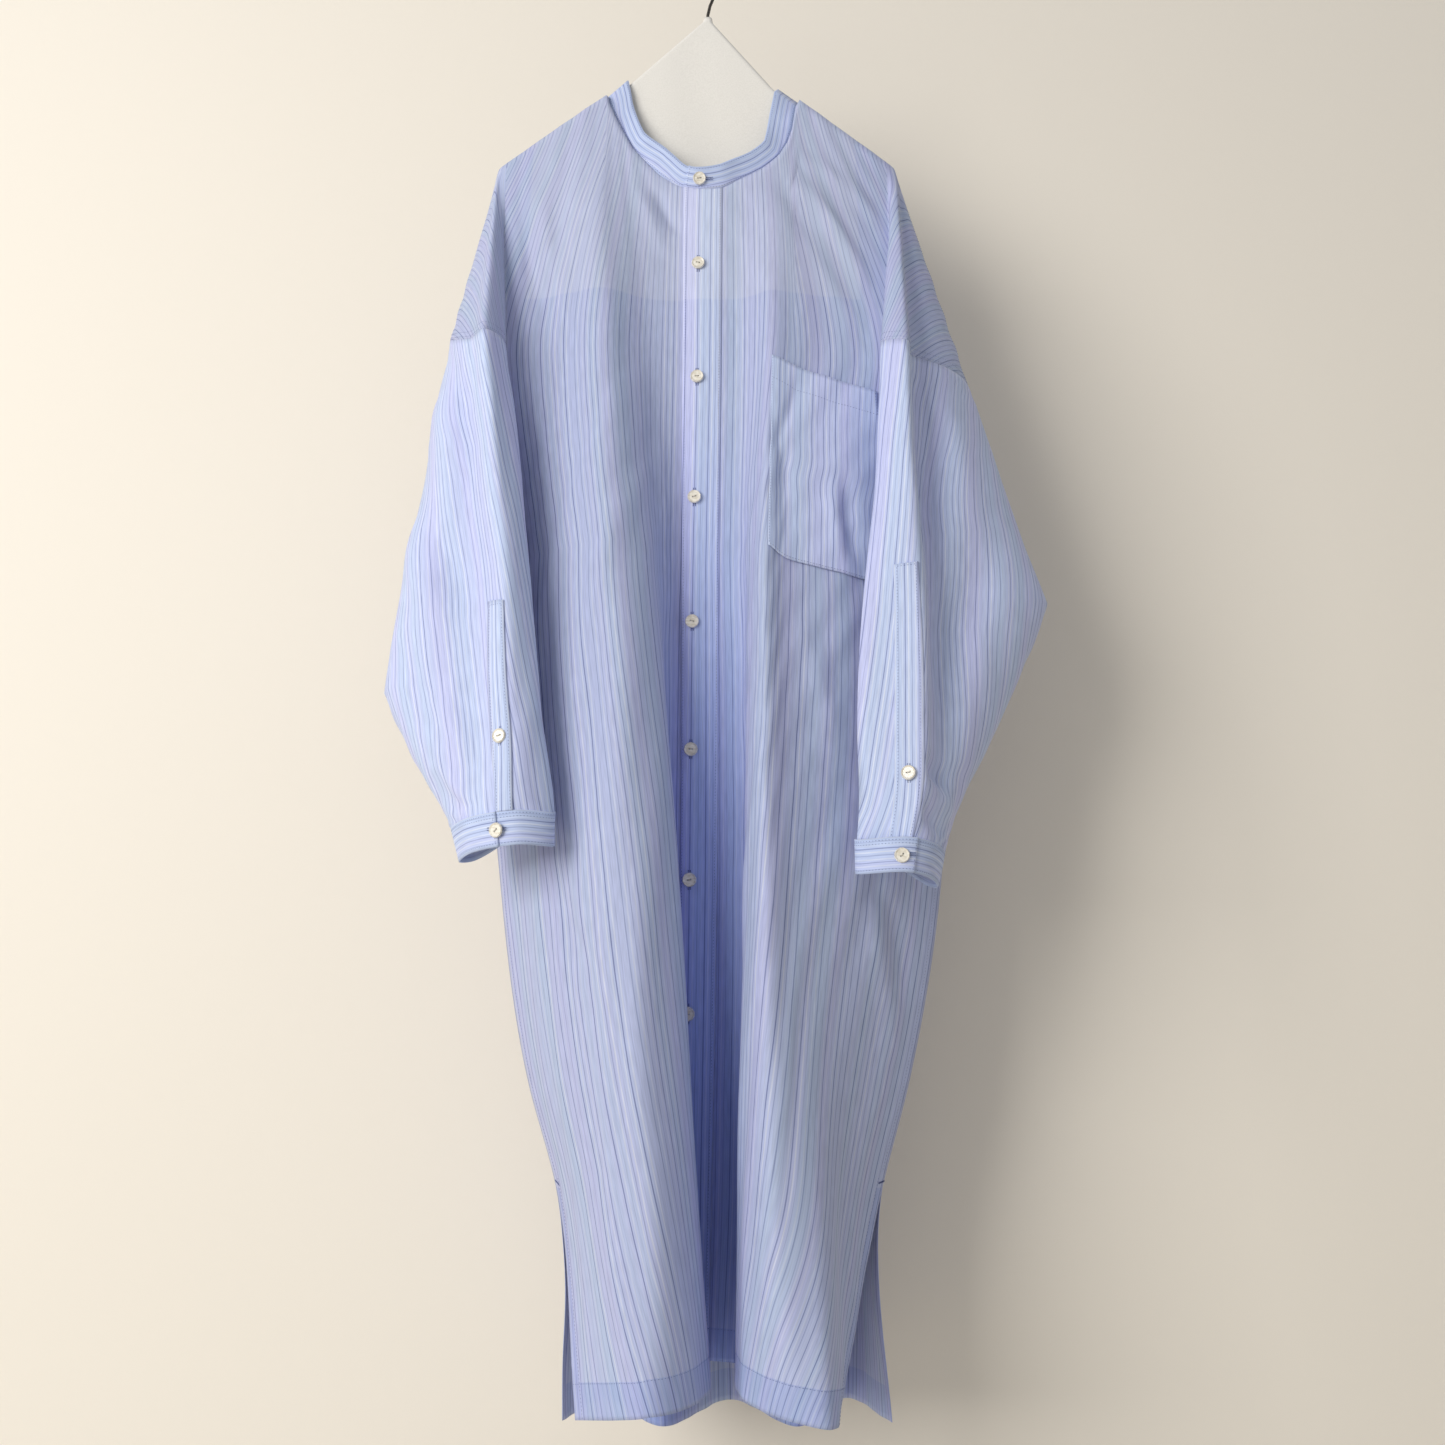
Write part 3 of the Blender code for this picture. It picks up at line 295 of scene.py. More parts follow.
def top_of(folds, table, u):
    """Top point of each body column, on the neck seam or on the shoulder seam."""
    z = np.full(len(u), -200.0)
    (right_neck, _), (left_neck, _) = SHOULDER["right"][0], SHOULDER["left"][0]
    for _ in range(6):
        x = folds.at(u, z)[:, 0]
        z_right = np.interp(x, *zip(*SHOULDER["right"][::-1]))
        z_left = np.interp(x, *zip(*SHOULDER["left"]))
        neck = neck_at(table, x)
        inside = (x > right_neck) & (x < left_neck)
        z = np.where(inside, neck[:, 2], np.where(x < 0, z_right, z_left))
        y = np.where(inside, neck[:, 1], 0.0)
    return np.stack([x, y, z], 1)


def body_grid(folds, table, u, hem):
    """Rows of points down the body: shoulder roll, armhole, underarm, slit, hem."""
    top = top_of(folds, table, u)
    hem_z = np.interp(u, np.arange(folds.count), hem)
    start = top[:, 2] - SHOULDER_ROLL
    marks = ((top[:, 2], start, "roll"), (start, ARMHOLE_TURN, "armhole"),
             (ARMHOLE_TURN, UNDERARM, "underarm"), (UNDERARM, SLIT_TOP, "slit"), (SLIT_TOP, hem_z, "hem"))
    heights = [top[:, 2]]
    for upper, lower, name in marks:
        upper = upper + np.zeros(len(u))
        shares = np.arange(1, ROWS[name] + 1) / ROWS[name]
        if name == "roll":
            shares = shares**2
        heights += [upper + (lower - upper) * share for share in shares]
    z = np.array(heights)
    points = folds.at(u[None, :], z)
    first = folds.at(u, top[:, 2])
    fall = np.clip((top[:, 2] - z) / SHOULDER_ROLL, 0, 1)
    arc = np.sqrt(1 - (1 - fall) ** 2)
    points[..., 1] += (top[:, 1] - first[:, 1]) * (1 - arc)
    return points


def lifted(folds, grid, u, lift):
    """The same grid moved out from the folds along the cloth's own outward direction."""
    step = 0.02
    ahead = folds.at(np.clip(u + step, 0, folds.count - 1)[None, :], grid[..., 2])
    behind = folds.at(np.clip(u - step, 0, folds.count - 1)[None, :], grid[..., 2])
    down = folds.at(u[None, :], grid[..., 2] - 5.0) - folds.at(u[None, :], grid[..., 2])
    out = np.cross(down, ahead - behind)
    out /= np.linalg.norm(out, axis=2, keepdims=True)
    return grid + out * np.asarray(lift)[..., None]


# %% Front and back grids
U_EDGE = FRONT.line("band_edge")
U_CENTRE = FRONT.line("centre")
U_SEAM = FRONT.line("band_seam")
U_LIMB = FRONT.line("limb_left")
front_u = FRONT.columns(FINE)
back_u = BACK.columns(FINE)
front = body_grid(FRONT, NECK_FRONT, front_u, FRONT_HEM)
back = body_grid(BACK, NECK_BACK, back_u, BACK_HEM)
# Front and back share their points at the side seams and at the shoulders' ends
for there, here in ((0, -1), (-1, 0)):
    back[ROW_UNDERARM:ROW_SLIT + 1, there] = front[ROW_UNDERARM:ROW_SLIT + 1, here]
    back[:1, there] = front[:1, here]
print("front grid", front.shape[:2], "back grid", back.shape[:2])

# %% [markdown]
# Dropped shoulders and sleeves
#
# The body of this dress is cut wide: cloth beyond the hanger's end drops in a fan down to the sleeve
# seam. The sleeve is a tube of rings below it, and the seam ring is shared by fan, body and sleeve,
# so that no gap opens between them.

# %% Fan of cloth beyond each end of the hanger
# Share of the way down the outer edge where each fan line starts
FAN_START = {"limb": 0.0, "ridge": 0.02, "dip": 0.05, "swell": 0.09, "outer": 0.14,
             "swell_back": 0.09, "ridge_back": 0.03}
# and the x, y, z where it meets the sleeve seam
FAN_END = {
    "right": {"limb": (-165, -68, -437), "ridge": (-178, -90, -438), "dip": (-192, -70, -436),
              "swell": (-208, -50, -427), "outer": (-223, 0, -408), "swell_back": (-213, 44, -428),
              "ridge_back": (-194, 58, -444)},
    "left": {"limb": (156, -80, -444), "ridge": (173, -92, -449), "dip": (183, -58, -446),
             "swell": (212, -44, -449), "outer": (241, 0, -450), "swell_back": (228, 44, -456),
             "ridge_back": (206, 54, -462)},
}
# How far each fan line stands off its straight run near the top
FAN_BULGE = {"limb": -7.0, "ridge": -6.0, "dip": -5.0, "swell": -3.0, "outer": 0.0,
             "swell_back": 3.0, "ridge_back": 6.0}
FAN_STEPS = 7
fan_u = np.linspace(0, 8, 8 * FAN_STEPS + 1)
# Column of the outer edge, where front and back meet
FAN_OUTER = 5 * FAN_STEPS


def fan_grid(side, front_edge, back_edge):
    """Rows from the hanger's end down to the sleeve seam, the front edge first."""
    tip_x, tip_z = SHOULDER[side][1]
    tip = np.array([tip_x, 0.0, tip_z])
    end = {name: np.array(spot, float) for name, spot in FAN_END[side].items()}
    first_z = front_edge[0, 2]
    rows = []
    for row in range(ROW_ARMHOLE + 1):
        t = (first_z - front_edge[row, 2]) / (first_z - front_edge[ROW_ARMHOLE, 2])
        fall = min(1.0, (first_z - front_edge[row, 2]) / SHOULDER_ROLL)
        arc = math.sqrt(1 - (1 - fall) ** 2)
        line = [front_edge[row]]
        for name, share in FAN_START.items():
            start = tip + (end["outer"] - tip) * share
            point = start + (end[name] - start) * t
            point[1] += FAN_BULGE[name] * arc * (1 - t)
            line.append(point)
        line.append(back_edge[row])
        rows.append(through(line, fan_u))
    return np.array(rows)


fans = {"right": fan_grid("right", front[:, 0], back[:, -1]),
        "left": fan_grid("left", front[:, -1], back[:, 0])}
print("fan grid", fans["left"].shape[:2])

# %% Sleeve rings
# Height of the outer side and of the underarm side, then x, y of each fold line round the ring:
# under, inner, limb, ridge, dip, swell, outer, swell_back, ridge_back, inner_back
SLEEVE_RINGS = {
    "right": (
        (-505, -665, ((-212, 2), (-160, -54), (-147, -76), (-163, -96), (-187, -68), (-215, -54),
                      (-237, 0), (-228, 44), (-210, 54), (-200, 36))),
        (-620, -715, ((-206, -10), (-150, -58), (-135, -80), (-151, -99), (-178, -72), (-222, -60),
                      (-252, -2), (-241, 38), (-220, 40), (-205, 18))),
        (-733, -765, ((-186, -30), (-143, -61), (-124, -84), (-143, -102), (-176, -78), (-222, -65),
                      (-264, -5), (-242, 24), (-214, 12), (-194, -12))),
        (-795, -800, ((-162, -47), (-132, -67), (-116, -87), (-137, -104), (-170, -86), (-205, -71),
                      (-230, -28), (-216, -6), (-194, -14), (-176, -33))),
        (-832, -815, ((-146, -53), (-126, -68), (-111, -87), (-136, -105), (-163, -95), (-190, -77),
                      (-206, -45), (-195, -26), (-176, -29), (-159, -43))),
        (-854, -826, ((-140, -57), (-124, -69), (-109, -87), (-135, -105), (-161, -98), (-181, -80),
                      (-193, -54), (-184, -38), (-168, -40), (-153, -49))),
    ),
    "left": (
        (-520, -665, ((220, 2), (166, -54), (149, -80), (173, -95), (185, -60), (226, -48),
                      (261, 0), (247, 42), (226, 48), (214, 28))),
        (-600, -715, ((216, -12), (158, -60), (139, -82), (176, -98), (189, -60), (242, -50),
                      (284, 0), (265, 38), (238, 36), (218, 12))),
        (-653, -765, ((202, -32), (160, -61), (133, -84), (178, -99), (190, -62), (250, -50),
                      (300, -4), (273, 26), (240, 16), (215, -8))),
        (-762, -796, ((186, -46), (152, -66), (127, -86), (178, -101), (189, -74), (222, -61),
                      (250, -20), (236, 2), (213, -6), (200, -26))),
        (-842, -838, ((166, -52), (142, -66), (126, -86), (173, -103), (185, -88), (198, -70),
                      (207, -41), (200, -22), (188, -26), (176, -38))),
        (-874, -850, ((157, -52), (138, -65), (125, -86), (166, -104), (181, -93), (190, -77),
                      (195, -58), (190, -41), (180, -35), (168, -40))),
    ),
}
# How far each fold line has dropped from the outer height toward the underarm height
RING_DROP = (1.0, 0.6, 0.3, 0.26, 0.18, 0.1, 0.0, 0.12, 0.4, 0.7)
SLEEVE_STEPS = 15


# %% Sleeve grids
def ring_points(side, number, w):
    """Points of one ring at fold line numbers."""
    z_outer, z_under, pairs = SLEEVE_RINGS[side][number]
    ring = np.array([(x, y, z_outer + (z_under - z_outer) * drop) for (x, y), drop in zip(pairs, RING_DROP)])
    return through(np.concatenate([ring[-1:], ring, ring[:2]]), np.asarray(w, float) + 1.0)


def sleeve_rings(side):
    """Fold line numbers round the sleeve and its rings, the seam first."""
    front_edge = front[:, 0] if side == "right" else front[:, -1]
    back_edge = back[:, -1] if side == "right" else back[:, 0]
    crevice = slice(ROW_ARMHOLE + 1, ROW_UNDERARM + 1)
    seam = np.concatenate([front_edge[crevice][::-1], fans[side][ROW_ARMHOLE], back_edge[crevice]])
    near = np.arange(ROWS["underarm"]) / ROWS["underarm"]
    w = np.concatenate([near, 1 + fan_u, 10 - near[::-1]])
    return w, np.array([seam] + [ring_points(side, n, w) for n in range(len(SLEEVE_RINGS[side]))])


def along_rings(rings, place):
    """Points at a ring number that may lie between two rings, for every column."""
    lines = rings.transpose(1, 0, 2)
    return spline(chords(lines), lines, np.broadcast_to(float(place), (lines.shape[0],)))


# How nearly straight the sleeve runs between rings at its outer side, so that the elbow keeps its corner
ELBOW_CRISP = 0.8
# The left placket presses the sleeve flat between these fold lines, from this ring down
FLAT_STRIP = (2.0, 3.0)
FLAT_FROM = 2.0
sleeves = {}
for side in ("right", "left"):
    w, rings = sleeve_rings(side)
    places = np.linspace(0, 6, 6 * SLEEVE_STEPS + 1)
    grid = np.array([along_rings(rings, place) for place in places])
    lower = np.minimum(places.astype(int), 5)
    share = (places - lower)[:, None, None]
    straight = rings[lower] * (1 - share) + rings[lower + 1] * share
    if side == "left":
        first, last = (int(np.argmin(abs(w - number))) for number in FLAT_STRIP)
        flat = grid[:, first:first + 1] * (FLAT_STRIP[1] - w)[None, :, None]
        flat = flat + grid[:, last:last + 1] * (w - FLAT_STRIP[0])[None, :, None]
        in_strip = (w >= FLAT_STRIP[0]) & (w <= FLAT_STRIP[1])
        pressed = np.clip(places - FLAT_FROM, 0, 1)[:, None, None] * in_strip[None, :, None]
        grid = grid * (1 - pressed) + flat * pressed
    crisp = ELBOW_CRISP * np.exp(-(((w - 6) / 1.1) ** 2))[None, :, None]
    grid = grid * (1 - crisp) + straight * crisp
    grid[:, -1] = grid[:, 0]
    sleeves[side] = (w, grid)
    print("sleeve", side, "grid", grid.shape[:2])

# %% [markdown]
# Small creases
#
# Worn cotton keeps a few soft creases from folding and wearing. Each one is placed as a
# trough or a ridge that swells and fades along its line. They could be painted as bump in the
# material, but a real displacement also bends the stripes and the outline.

# %% Creases as strokes
# x and z of both ends, half width, height (minus for a trough), bow, and the fold lines between which
# the crease lies
FRONT_CREASES = (
    (-165, -258, -131, -415, 8, -1.8, 4, 0, 2.5),
    (-150, -250, -106, -416, 9, 1.5, 3, 0, 2.5),
    (76, -240, 152, -370, 8, 2.8, -5, 9.5, 13),
    (64, -252, 134, -394, 9, -2.2, -5, 9.5, 13),
    (92, -226, 164, -298, 9, 1.7, -4, 10, 13),
    (104, -312, 141, -412, 10, 1.5, 3, 10, 13),
    (-40, -262, -16, -318, 6, -3.4, 2, 3.4, 5.2),
    (-52, -266, -26, -342, 7, 2.0, 2, 3, 5),
    (126, -545, 137, -640, 8, -2.8, 5, 11, 13),
    (116, -552, 121, -630, 6, 1.8, 3, 11, 12.8),
    (61, -488, 73, -612, 7, -1.6, -4, 9.6, 11.6),
    (-108, -880, -79, -975, 10, -2.0, 5, 0, 2),
    (-94, -868, -62, -990, 11, 1.8, 5, 0, 2.2),
    (-69, -1115, -33, -1270, 9, 2.0, 3, 0.6, 2.4),
    (-40, -1055, -25, -1250, 8, -1.7, 3, 1.4, 2.6),
    (56, -1095, 76, -1272, 9, 1.5, 4, 9.4, 10.8),
    (148, -890, 168, -990, 9, -2.0, -4, 11.8, 13),
    (137, -905, 155, -1035, 10, 1.8, -4, 11.5, 13),
    (-82, -508, -66, -708, 10, 1.3, 4, 1.4, 2.4),
    (-87, -668, -73, -840, 10, -1.4, 4, 1.0, 2.2),
    (-36, -495, -27, -690, 6, 1.3, -3, 3.4, 4.5),
    (84, -680, 110, -800, 10, 1.6, -5, 10.8, 12.6),
    (50, -664, 58, -840, 8, -1.1, 2, 9.2, 10.8),
)
BACK_CREASES = (
    (140, -300, 96, -470, 12, 2.4, 6, 0, 2.4),
    (120, -280, 84, -430, 10, -2.0, 5, 0, 2.6),
    (-146, -300, -98, -480, 12, 2.6, -6, 3.6, 6),
    (-124, -272, -86, -420, 9, -2.0, -5, 3.4, 6),
    (36, -240, 22, -420, 14, 1.6, 3, 1.8, 3.8),
    (-32, -236, -18, -400, 13, -1.6, -3, 2.4, 4.4),
    (150, -700, 120, -930, 12, 1.8, 8, 0, 1.8),
    (-120, -690, -104, -960, 12, -2.0, -7, 4.2, 6),
    (48, -860, 60, -1120, 11, 1.6, 5, 1.6, 3),
    (-30, -900, -20, -1180, 11, -1.7, -5, 3, 4.6),
)
SLEEVE_CREASES = {
    "right": (
        (-232, -470, -198, -560, 12, 3.0, -4, 3.6, 6.4),
        (-238, -520, -184, -682, 13, -4.0, 7, 3.6, 6.2),
        (-247, -580, -206, -690, 12, 3.0, 6, 3.8, 6.3),
        (-246, -690, -192, -790, 13, -3.8, 7, 3.6, 6.2),
        (-216, -745, -176, -808, 10, 3.0, -4, 3.2, 5.6),
        (-208, -808, -180, -846, 7, -2.4, 3, 3.4, 6.2),
        (-222, -412, -190, -506, 9, -2.4, 4, 3.6, 6.2),
        (-180, -536, -166, -642, 8, 1.6, 3, 3, 4.6),
        (-196, -812, -172, -838, 5, 1.8, 2, 3.2, 5.6),
        (-232, -520, -214, -690, 14, 3.0, -8, 6.2, 9),
        (-224, -610, -200, -760, 11, -2.6, -6, 6.4, 9.4),
    ),
    "left": (
        (198, -484, 184, -610, 10, -2.2, -5, 3.2, 5.5),
        (228, -498, 186, -692, 14, 2.4, -8, 3.2, 6),
        (256, -560, 214, -700, 14, -1.8, -7, 4.2, 6),
        (176, -800, 200, -828, 7, -3.4, 2, 2.8, 5.6),
        (172, -838, 193, -862, 6, -2.6, 2, 2.8, 5.6),
        (180, -818, 204, -846, 7, 2.2, 2, 2.8, 5.6),
        (253, -640, 202, -802, 13, 1.6, 7, 4, 6),
        (182, -620, 177, -760, 8, 1.4, 3, 2.6, 4.2),
        (133, -800, 138, -868, 6, -1.8, 2, 1.4, 2.9),
        (166, -710, 152, -812, 7, 1.3, 3, 1.8, 3.2),
        (262, -560, 236, -720, 14, 2.8, 8, 6.2, 9),
        (242, -650, 216, -790, 11, -2.4, 6, 6.4, 9.4),
    ),
}


# %% Height of the creases
# Power that shapes how a stroke swells along its line, and how fast it fades past its fold lines
SWELL = 0.8
FOLD_FADE = 3


def strokes_at(strokes, x, z, fold):
    """Height of all strokes at points, each swelling and fading along its line."""
    total = np.zeros(np.broadcast(x, z, fold).shape)
    for x0, z0, x1, z1, width, height, bow, first, last in strokes:
        length = math.hypot(x1 - x0, z1 - z0)
        run = ((x - x0) * (x1 - x0) + (z - z0) * (z1 - z0)) / length**2
        side = ((x - x0) * (z1 - z0) - (z - z0) * (x1 - x0)) / length
        side = side - bow * 4 * run * (1 - run)
        taper = np.sin(math.pi * np.clip(run, 0, 1)) ** SWELL
        within = np.clip((fold - first) * FOLD_FADE, 0, 1) * np.clip((last - fold) * FOLD_FADE, 0, 1)
        total += height * taper * within * np.exp(-((side / width) ** 2))
    return total


WAVES = 9
WAVE_WIDTH = (26, 80)
WAVE_HEIGHT = (110, 340)


def unevenness(across, down, seed, size):
    """Slow waves of a hand-hung cloth, longer down than across."""
    draw = np.random.default_rng(seed)
    total = np.zeros(np.broadcast(across, down).shape)
    for _ in range(WAVES):
        wide = draw.uniform(*WAVE_WIDTH)
        tall = draw.uniform(*WAVE_HEIGHT)
        total += np.sin(2 * math.pi * (across / wide + down / tall) + draw.uniform(0, 6.28))
    return total * size / 3


def puckers(run, distance, pitch, size, reach):
    """Little gathers that a seam draws in, fading with the distance from it."""
    beat = run / pitch + 0.6 * np.sin(run / pitch * 0.83 + 1.0)
    fade = np.exp(-distance / reach) * (1 - np.exp(-distance / 1.5))
    return size * np.sin(2 * math.pi * beat) * fade


def surface_normals(grid):
    """Unit directions out of a grid, by its rows and columns."""
    along = np.gradient(grid, axis=1)
    down = np.gradient(grid, axis=0)
    out = np.cross(down, along)
    return out / np.maximum(np.linalg.norm(out, axis=2, keepdims=True), 1e-9)


def runs_down(grid):
    """Running length down each column of points."""
    steps = np.linalg.norm(np.diff(grid, axis=0), axis=2)
    return np.concatenate([np.zeros((1, grid.shape[1])), np.cumsum(steps, axis=0)])


# %% Crease the body
STROKE_GAIN = 1.5
# In mm: how far from a side seam and from the neck the creases rise, and below the slit's top they run free
SEAM_HOLD = 16
NECK_HOLD = 22
SLIT_FREE = 60
# The waves are calmer beside the button band, by this share and over this many fold lines
BAND_CALM = 0.7
BAND_REACH = 1.4
WAVE_SIZE = 0.55


def body_relief(folds, grid, u, strokes, seed):
    """Crease height over a body grid, zero along the seams it shares."""
    across, down = chords(grid), runs_down(grid)
    edge = np.minimum(across, across[:, -1:] - across)
    free = np.clip((down - down[ROW_SLIT]) / SLIT_FREE, 0, 1)
    hold = np.clip(edge / SEAM_HOLD, 0, 1) * (1 - free) + free * np.clip(edge / SEAM_HOLD + 0.5, 0, 1)
    relief = STROKE_GAIN * strokes_at(strokes, grid[..., 0], grid[..., 2], u[None, :])
    calm = 1 - BAND_CALM * np.exp(-(((u - U_CENTRE) / BAND_REACH) ** 2)) if folds is FRONT else 1.0
    relief = relief + unevenness(across, down, seed, WAVE_SIZE) * calm
    return relief * hold * np.clip(down / NECK_HOLD, 0, 1)


# The left front laps over the right one by this much, in mm
LAP = 1.5
front_relief = body_relief(FRONT, front, front_u, FRONT_CREASES, 11)
back_relief = body_relief(BACK, back, back_u, BACK_CREASES, 12)
ramp = np.clip((front_u - U_SEAM) / (U_LIMB - U_SEAM), 0, 1)
lift = np.where(front_u >= U_EDGE, LAP * (1 - ramp * ramp * (3 - 2 * ramp)), 0.0)
under_layer = lifted(FRONT, front, front_u, front_relief)
top_layer = lifted(FRONT, front, front_u, front_relief + lift)
back_layer = lifted(BACK, back, back_u, back_relief)
print("crease heights in mm:", float(front_relief.min()), float(front_relief.max()))

# %% Crease the dropped shoulders and the sleeves
# Fold line numbers at a placket's edges and the ring number of its top, where the cloth lies flat
PLACKET_FOLDS = {"right": (3.12, 3.62), "left": (2.55, 2.98)}
PLACKET_TOP = {"right": 2.35, "left": 2.3}
# The wearer's right side mirrors the left one, so its grids face the other way
TURN = {"right": -1.0, "left": 1.0}

for side in fans:
    grid = fans[side]
    run, down = chords(grid), runs_down(grid)
    left = down[-1:] - down
    start = np.clip(down / 30, 0, 1)
    hold = np.clip(np.minimum(run, run[:, -1:] - run) / 10, 0, 1) * np.clip(left / 14, 0, 1) * start
    relief = unevenness(run, down, 21, 0.6) * hold
    relief += puckers(run, left, 13.0, 0.35, 9.0) * start * hold.clip(0.3, 1)
    relief[-1] = 0.0
    fans[side] = grid + surface_normals(grid) * (TURN[side] * relief)[..., None]

    w, grid = sleeves[side]
    run, down = chords(grid), runs_down(grid)
    left = down[-1:] - down
    around = np.clip(np.minimum(run, run[:, -1:] - run) / 14, 0, 1)
    hold = np.clip(down / 20, 0, 1) * np.clip(left / 10, 0, 1) * around
    relief = STROKE_GAIN * strokes_at(SLEEVE_CREASES[side], grid[..., 0], grid[..., 2], w[None, :]) * hold
    relief += unevenness(run, down, 31 if side == "right" else 32, 0.7) * hold
    relief += (puckers(run, down, 12.0, 0.8, 10.0) + puckers(run, left, 10.5, 1.1, 12.0)) * around
    place = np.arange(len(grid))[:, None] / SLEEVE_STEPS
    flat_strip = np.exp(-(((w[None, :] - sum(PLACKET_FOLDS[side]) / 2) / 0.5) ** 4))
    flat_strip = flat_strip * np.clip(place - PLACKET_TOP[side] + 1, 0, 1)
    relief *= 1 - 0.9 * flat_strip
    grid = grid + surface_normals(grid) * (TURN[side] * relief)[..., None]
    grid[:, -1] = grid[:, 0]
    sleeves[side] = (w, grid)
print("creases on each sleeve:", {side: len(strokes) for side, strokes in SLEEVE_CREASES.items()})

# %% [markdown]
# Striped cotton
#
# A thin plain-weave cotton: a pale periwinkle ground, thin navy lines about five millimetres apart,
# every second one stronger, and finer white lines between them. The lines are shader maths on the
# cut coordinates, so they run with the grain through every fold. An image texture would blur.

# %% Helpers for shader nodes
def set_inputs(tree, node, inputs):
    """Values and links into a node's sockets."""
    for socket, value in inputs.items():
        if isinstance(value, bpy.types.NodeSocket):
            tree.links.new(value, node.inputs[socket])
        else:
            node.inputs[socket].default_value = value


def add_node(tree, kind, inputs=None, **settings):
    """A node with its settings, its values and its links."""
    made = tree.nodes.new(kind)
    for name, value in settings.items():
        setattr(made, name, value)
    set_inputs(tree, made, inputs or {})
    return made


def maths(tree, operation, first, second=0.0):
    """One sum, product or other operation on two values."""
    return add_node(tree, "ShaderNodeMath", {0: first, 1: second}, operation=operation).outputs[0]


def ranged(tree, value, start, end, low=0.0, high=1.0, **settings):
    """A value moved from the range start to end into the range low to high."""
    inputs = {0: value, 1: start, 2: end, 3: low, 4: high}
    return add_node(tree, "ShaderNodeMapRange", inputs, **settings).outputs[0]


def mixed(tree, share, first, second, how="MIX"):
    """Two colours mixed by a share."""
    inputs = {0: share, 6: first, 7: second}
    return add_node(tree, "ShaderNodeMix", inputs, data_type="RGBA", blend_type=how).outputs[2]


def pair_of(tree, layer):
    """Both values of a UV map."""
    spot = add_node(tree, "ShaderNodeUVMap", uv_map=layer)
    parts = add_node(tree, "ShaderNodeSeparateXYZ", {0: spot.outputs[0]})
    return parts.outputs[0], parts.outputs[1]


def new_material(name):
    """A material with its node tree and its Principled shader."""
    made = bpy.data.materials.new(name)
    made.use_nodes = True
    return made, made.node_tree, made.node_tree.nodes["Principled BSDF"]


def new_group(name, takes, gives):
    """A node group with named inputs and outputs."""
    tree = bpy.data.node_groups.new(name, "ShaderNodeTree")
    for title, kind, value in takes:
        socket = tree.interface.new_socket(title, in_out="INPUT", socket_type=kind)
        if value is not None:
            socket.default_value = value
    for title, kind in gives:
        tree.interface.new_socket(title, in_out="OUTPUT", socket_type=kind)
    return tree, tree.nodes.new("NodeGroupInput"), tree.nodes.new("NodeGroupOutput")


# %% Group: woven stripes
STRIPE_PITCH = 0.0106
GROUND_LAVENDER = (0.55, 0.58, 0.845, 1.0)
GROUND_AQUA = (0.52, 0.605, 0.82, 1.0)
LINE_NAVY = (0.13, 0.16, 0.38, 1.0)
LINE_WHITE = (0.80, 0.83, 0.90, 1.0)
# Painted shade: deep in the folds the colour is multiplied toward this blue
FOLD_SHADE_BLUE = (0.58, 0.64, 0.95, 1.0)
# Painted shade: where cloth lies double the colour is multiplied toward this pale blue
DOUBLED_SHADE_BLUE = (0.84, 0.88, 0.97, 1.0)
THREAD_PITCH = 0.00045

TAKES = ("Across", "Down", "Doubled Shade", "Fold Shade")
stripes, taken, given = new_group(
    "woven_stripes", [(title, "NodeSocketFloat", 0.0) for title in TAKES],
    (("Color", "NodeSocketColor"), ("Height", "NodeSocketFloat"), ("Roughness", "NodeSocketFloat")))
across, down, doubled_shade, fold_shade = (taken.outputs[name] for name in TAKES)


def stripe_line(shift, width, soft, seed, weakest, strongest):
    """Mask of one line in each pitch, its strength drawn anew for every line."""
    place = maths(stripes, "ADD", maths(stripes, "DIVIDE", across, STRIPE_PITCH), shift)
    near = maths(stripes, "ABSOLUTE", maths(stripes, "SUBTRACT", maths(stripes, "FRACT", place), 0.5))
    half = width / 2
    line = ranged(stripes, near, half / STRIPE_PITCH, (half + soft) / STRIPE_PITCH, 1.0, 0.0,
                  interpolation_type="SMOOTHSTEP")
    number = maths(stripes, "ADD", maths(stripes, "FLOOR", place), seed)
    draw = add_node(stripes, "ShaderNodeTexWhiteNoise", {"W": number}, noise_dimensions="1D")
    strength = ranged(stripes, draw.outputs["Value"], 0.0, 1.0, weakest, strongest)
    return maths(stripes, "MULTIPLY", line, strength)


bands = add_node(stripes, "ShaderNodeTexNoise", {"W": across, "Scale": 48.0, "Detail": 1.0},
                 noise_dimensions="1D")
colour = mixed(stripes, ranged(stripes, bands.outputs[0], 0.36, 0.64), GROUND_LAVENDER, GROUND_AQUA)
colour = mixed(stripes, stripe_line(0.25, 0.0005, 0.0005, 5.0, 0.1, 0.6), colour, LINE_WHITE)
colour = mixed(stripes, stripe_line(0.72, 0.0004, 0.0006, 15.0, 0.0, 0.5), colour, LINE_WHITE)
colour = mixed(stripes, stripe_line(0.5, 0.00045, 0.0004, 31.0, 0.4, 0.8), colour, LINE_NAVY)
colour = mixed(stripes, stripe_line(0.0, 0.0003, 0.0004, 53.0, 0.1, 0.55), colour, LINE_NAVY)
slubs = add_node(stripes, "ShaderNodeCombineXYZ", {0: maths(stripes, "MULTIPLY", across, 1400.0),
                                                   1: maths(stripes, "MULTIPLY", down, 60.0)})
streak = add_node(stripes, "ShaderNodeTexNoise", {"Vector": slubs.outputs[0], "Scale": 1.0, "Detail": 0.0})
shade = ranged(stripes, streak.outputs[0], 0.3, 0.7, 0.93, 1.06)
colour = mixed(stripes, 1.0, colour, shade, "MULTIPLY")
# Painted shade where the cloth lies double
colour = mixed(stripes, doubled_shade, colour, DOUBLED_SHADE_BLUE, "MULTIPLY")
# Painted shade, bluer and darker deep in the folds
colour = mixed(stripes, fold_shade, colour, FOLD_SHADE_BLUE, "MULTIPLY")
stripes.links.new(colour, given.inputs["Color"])
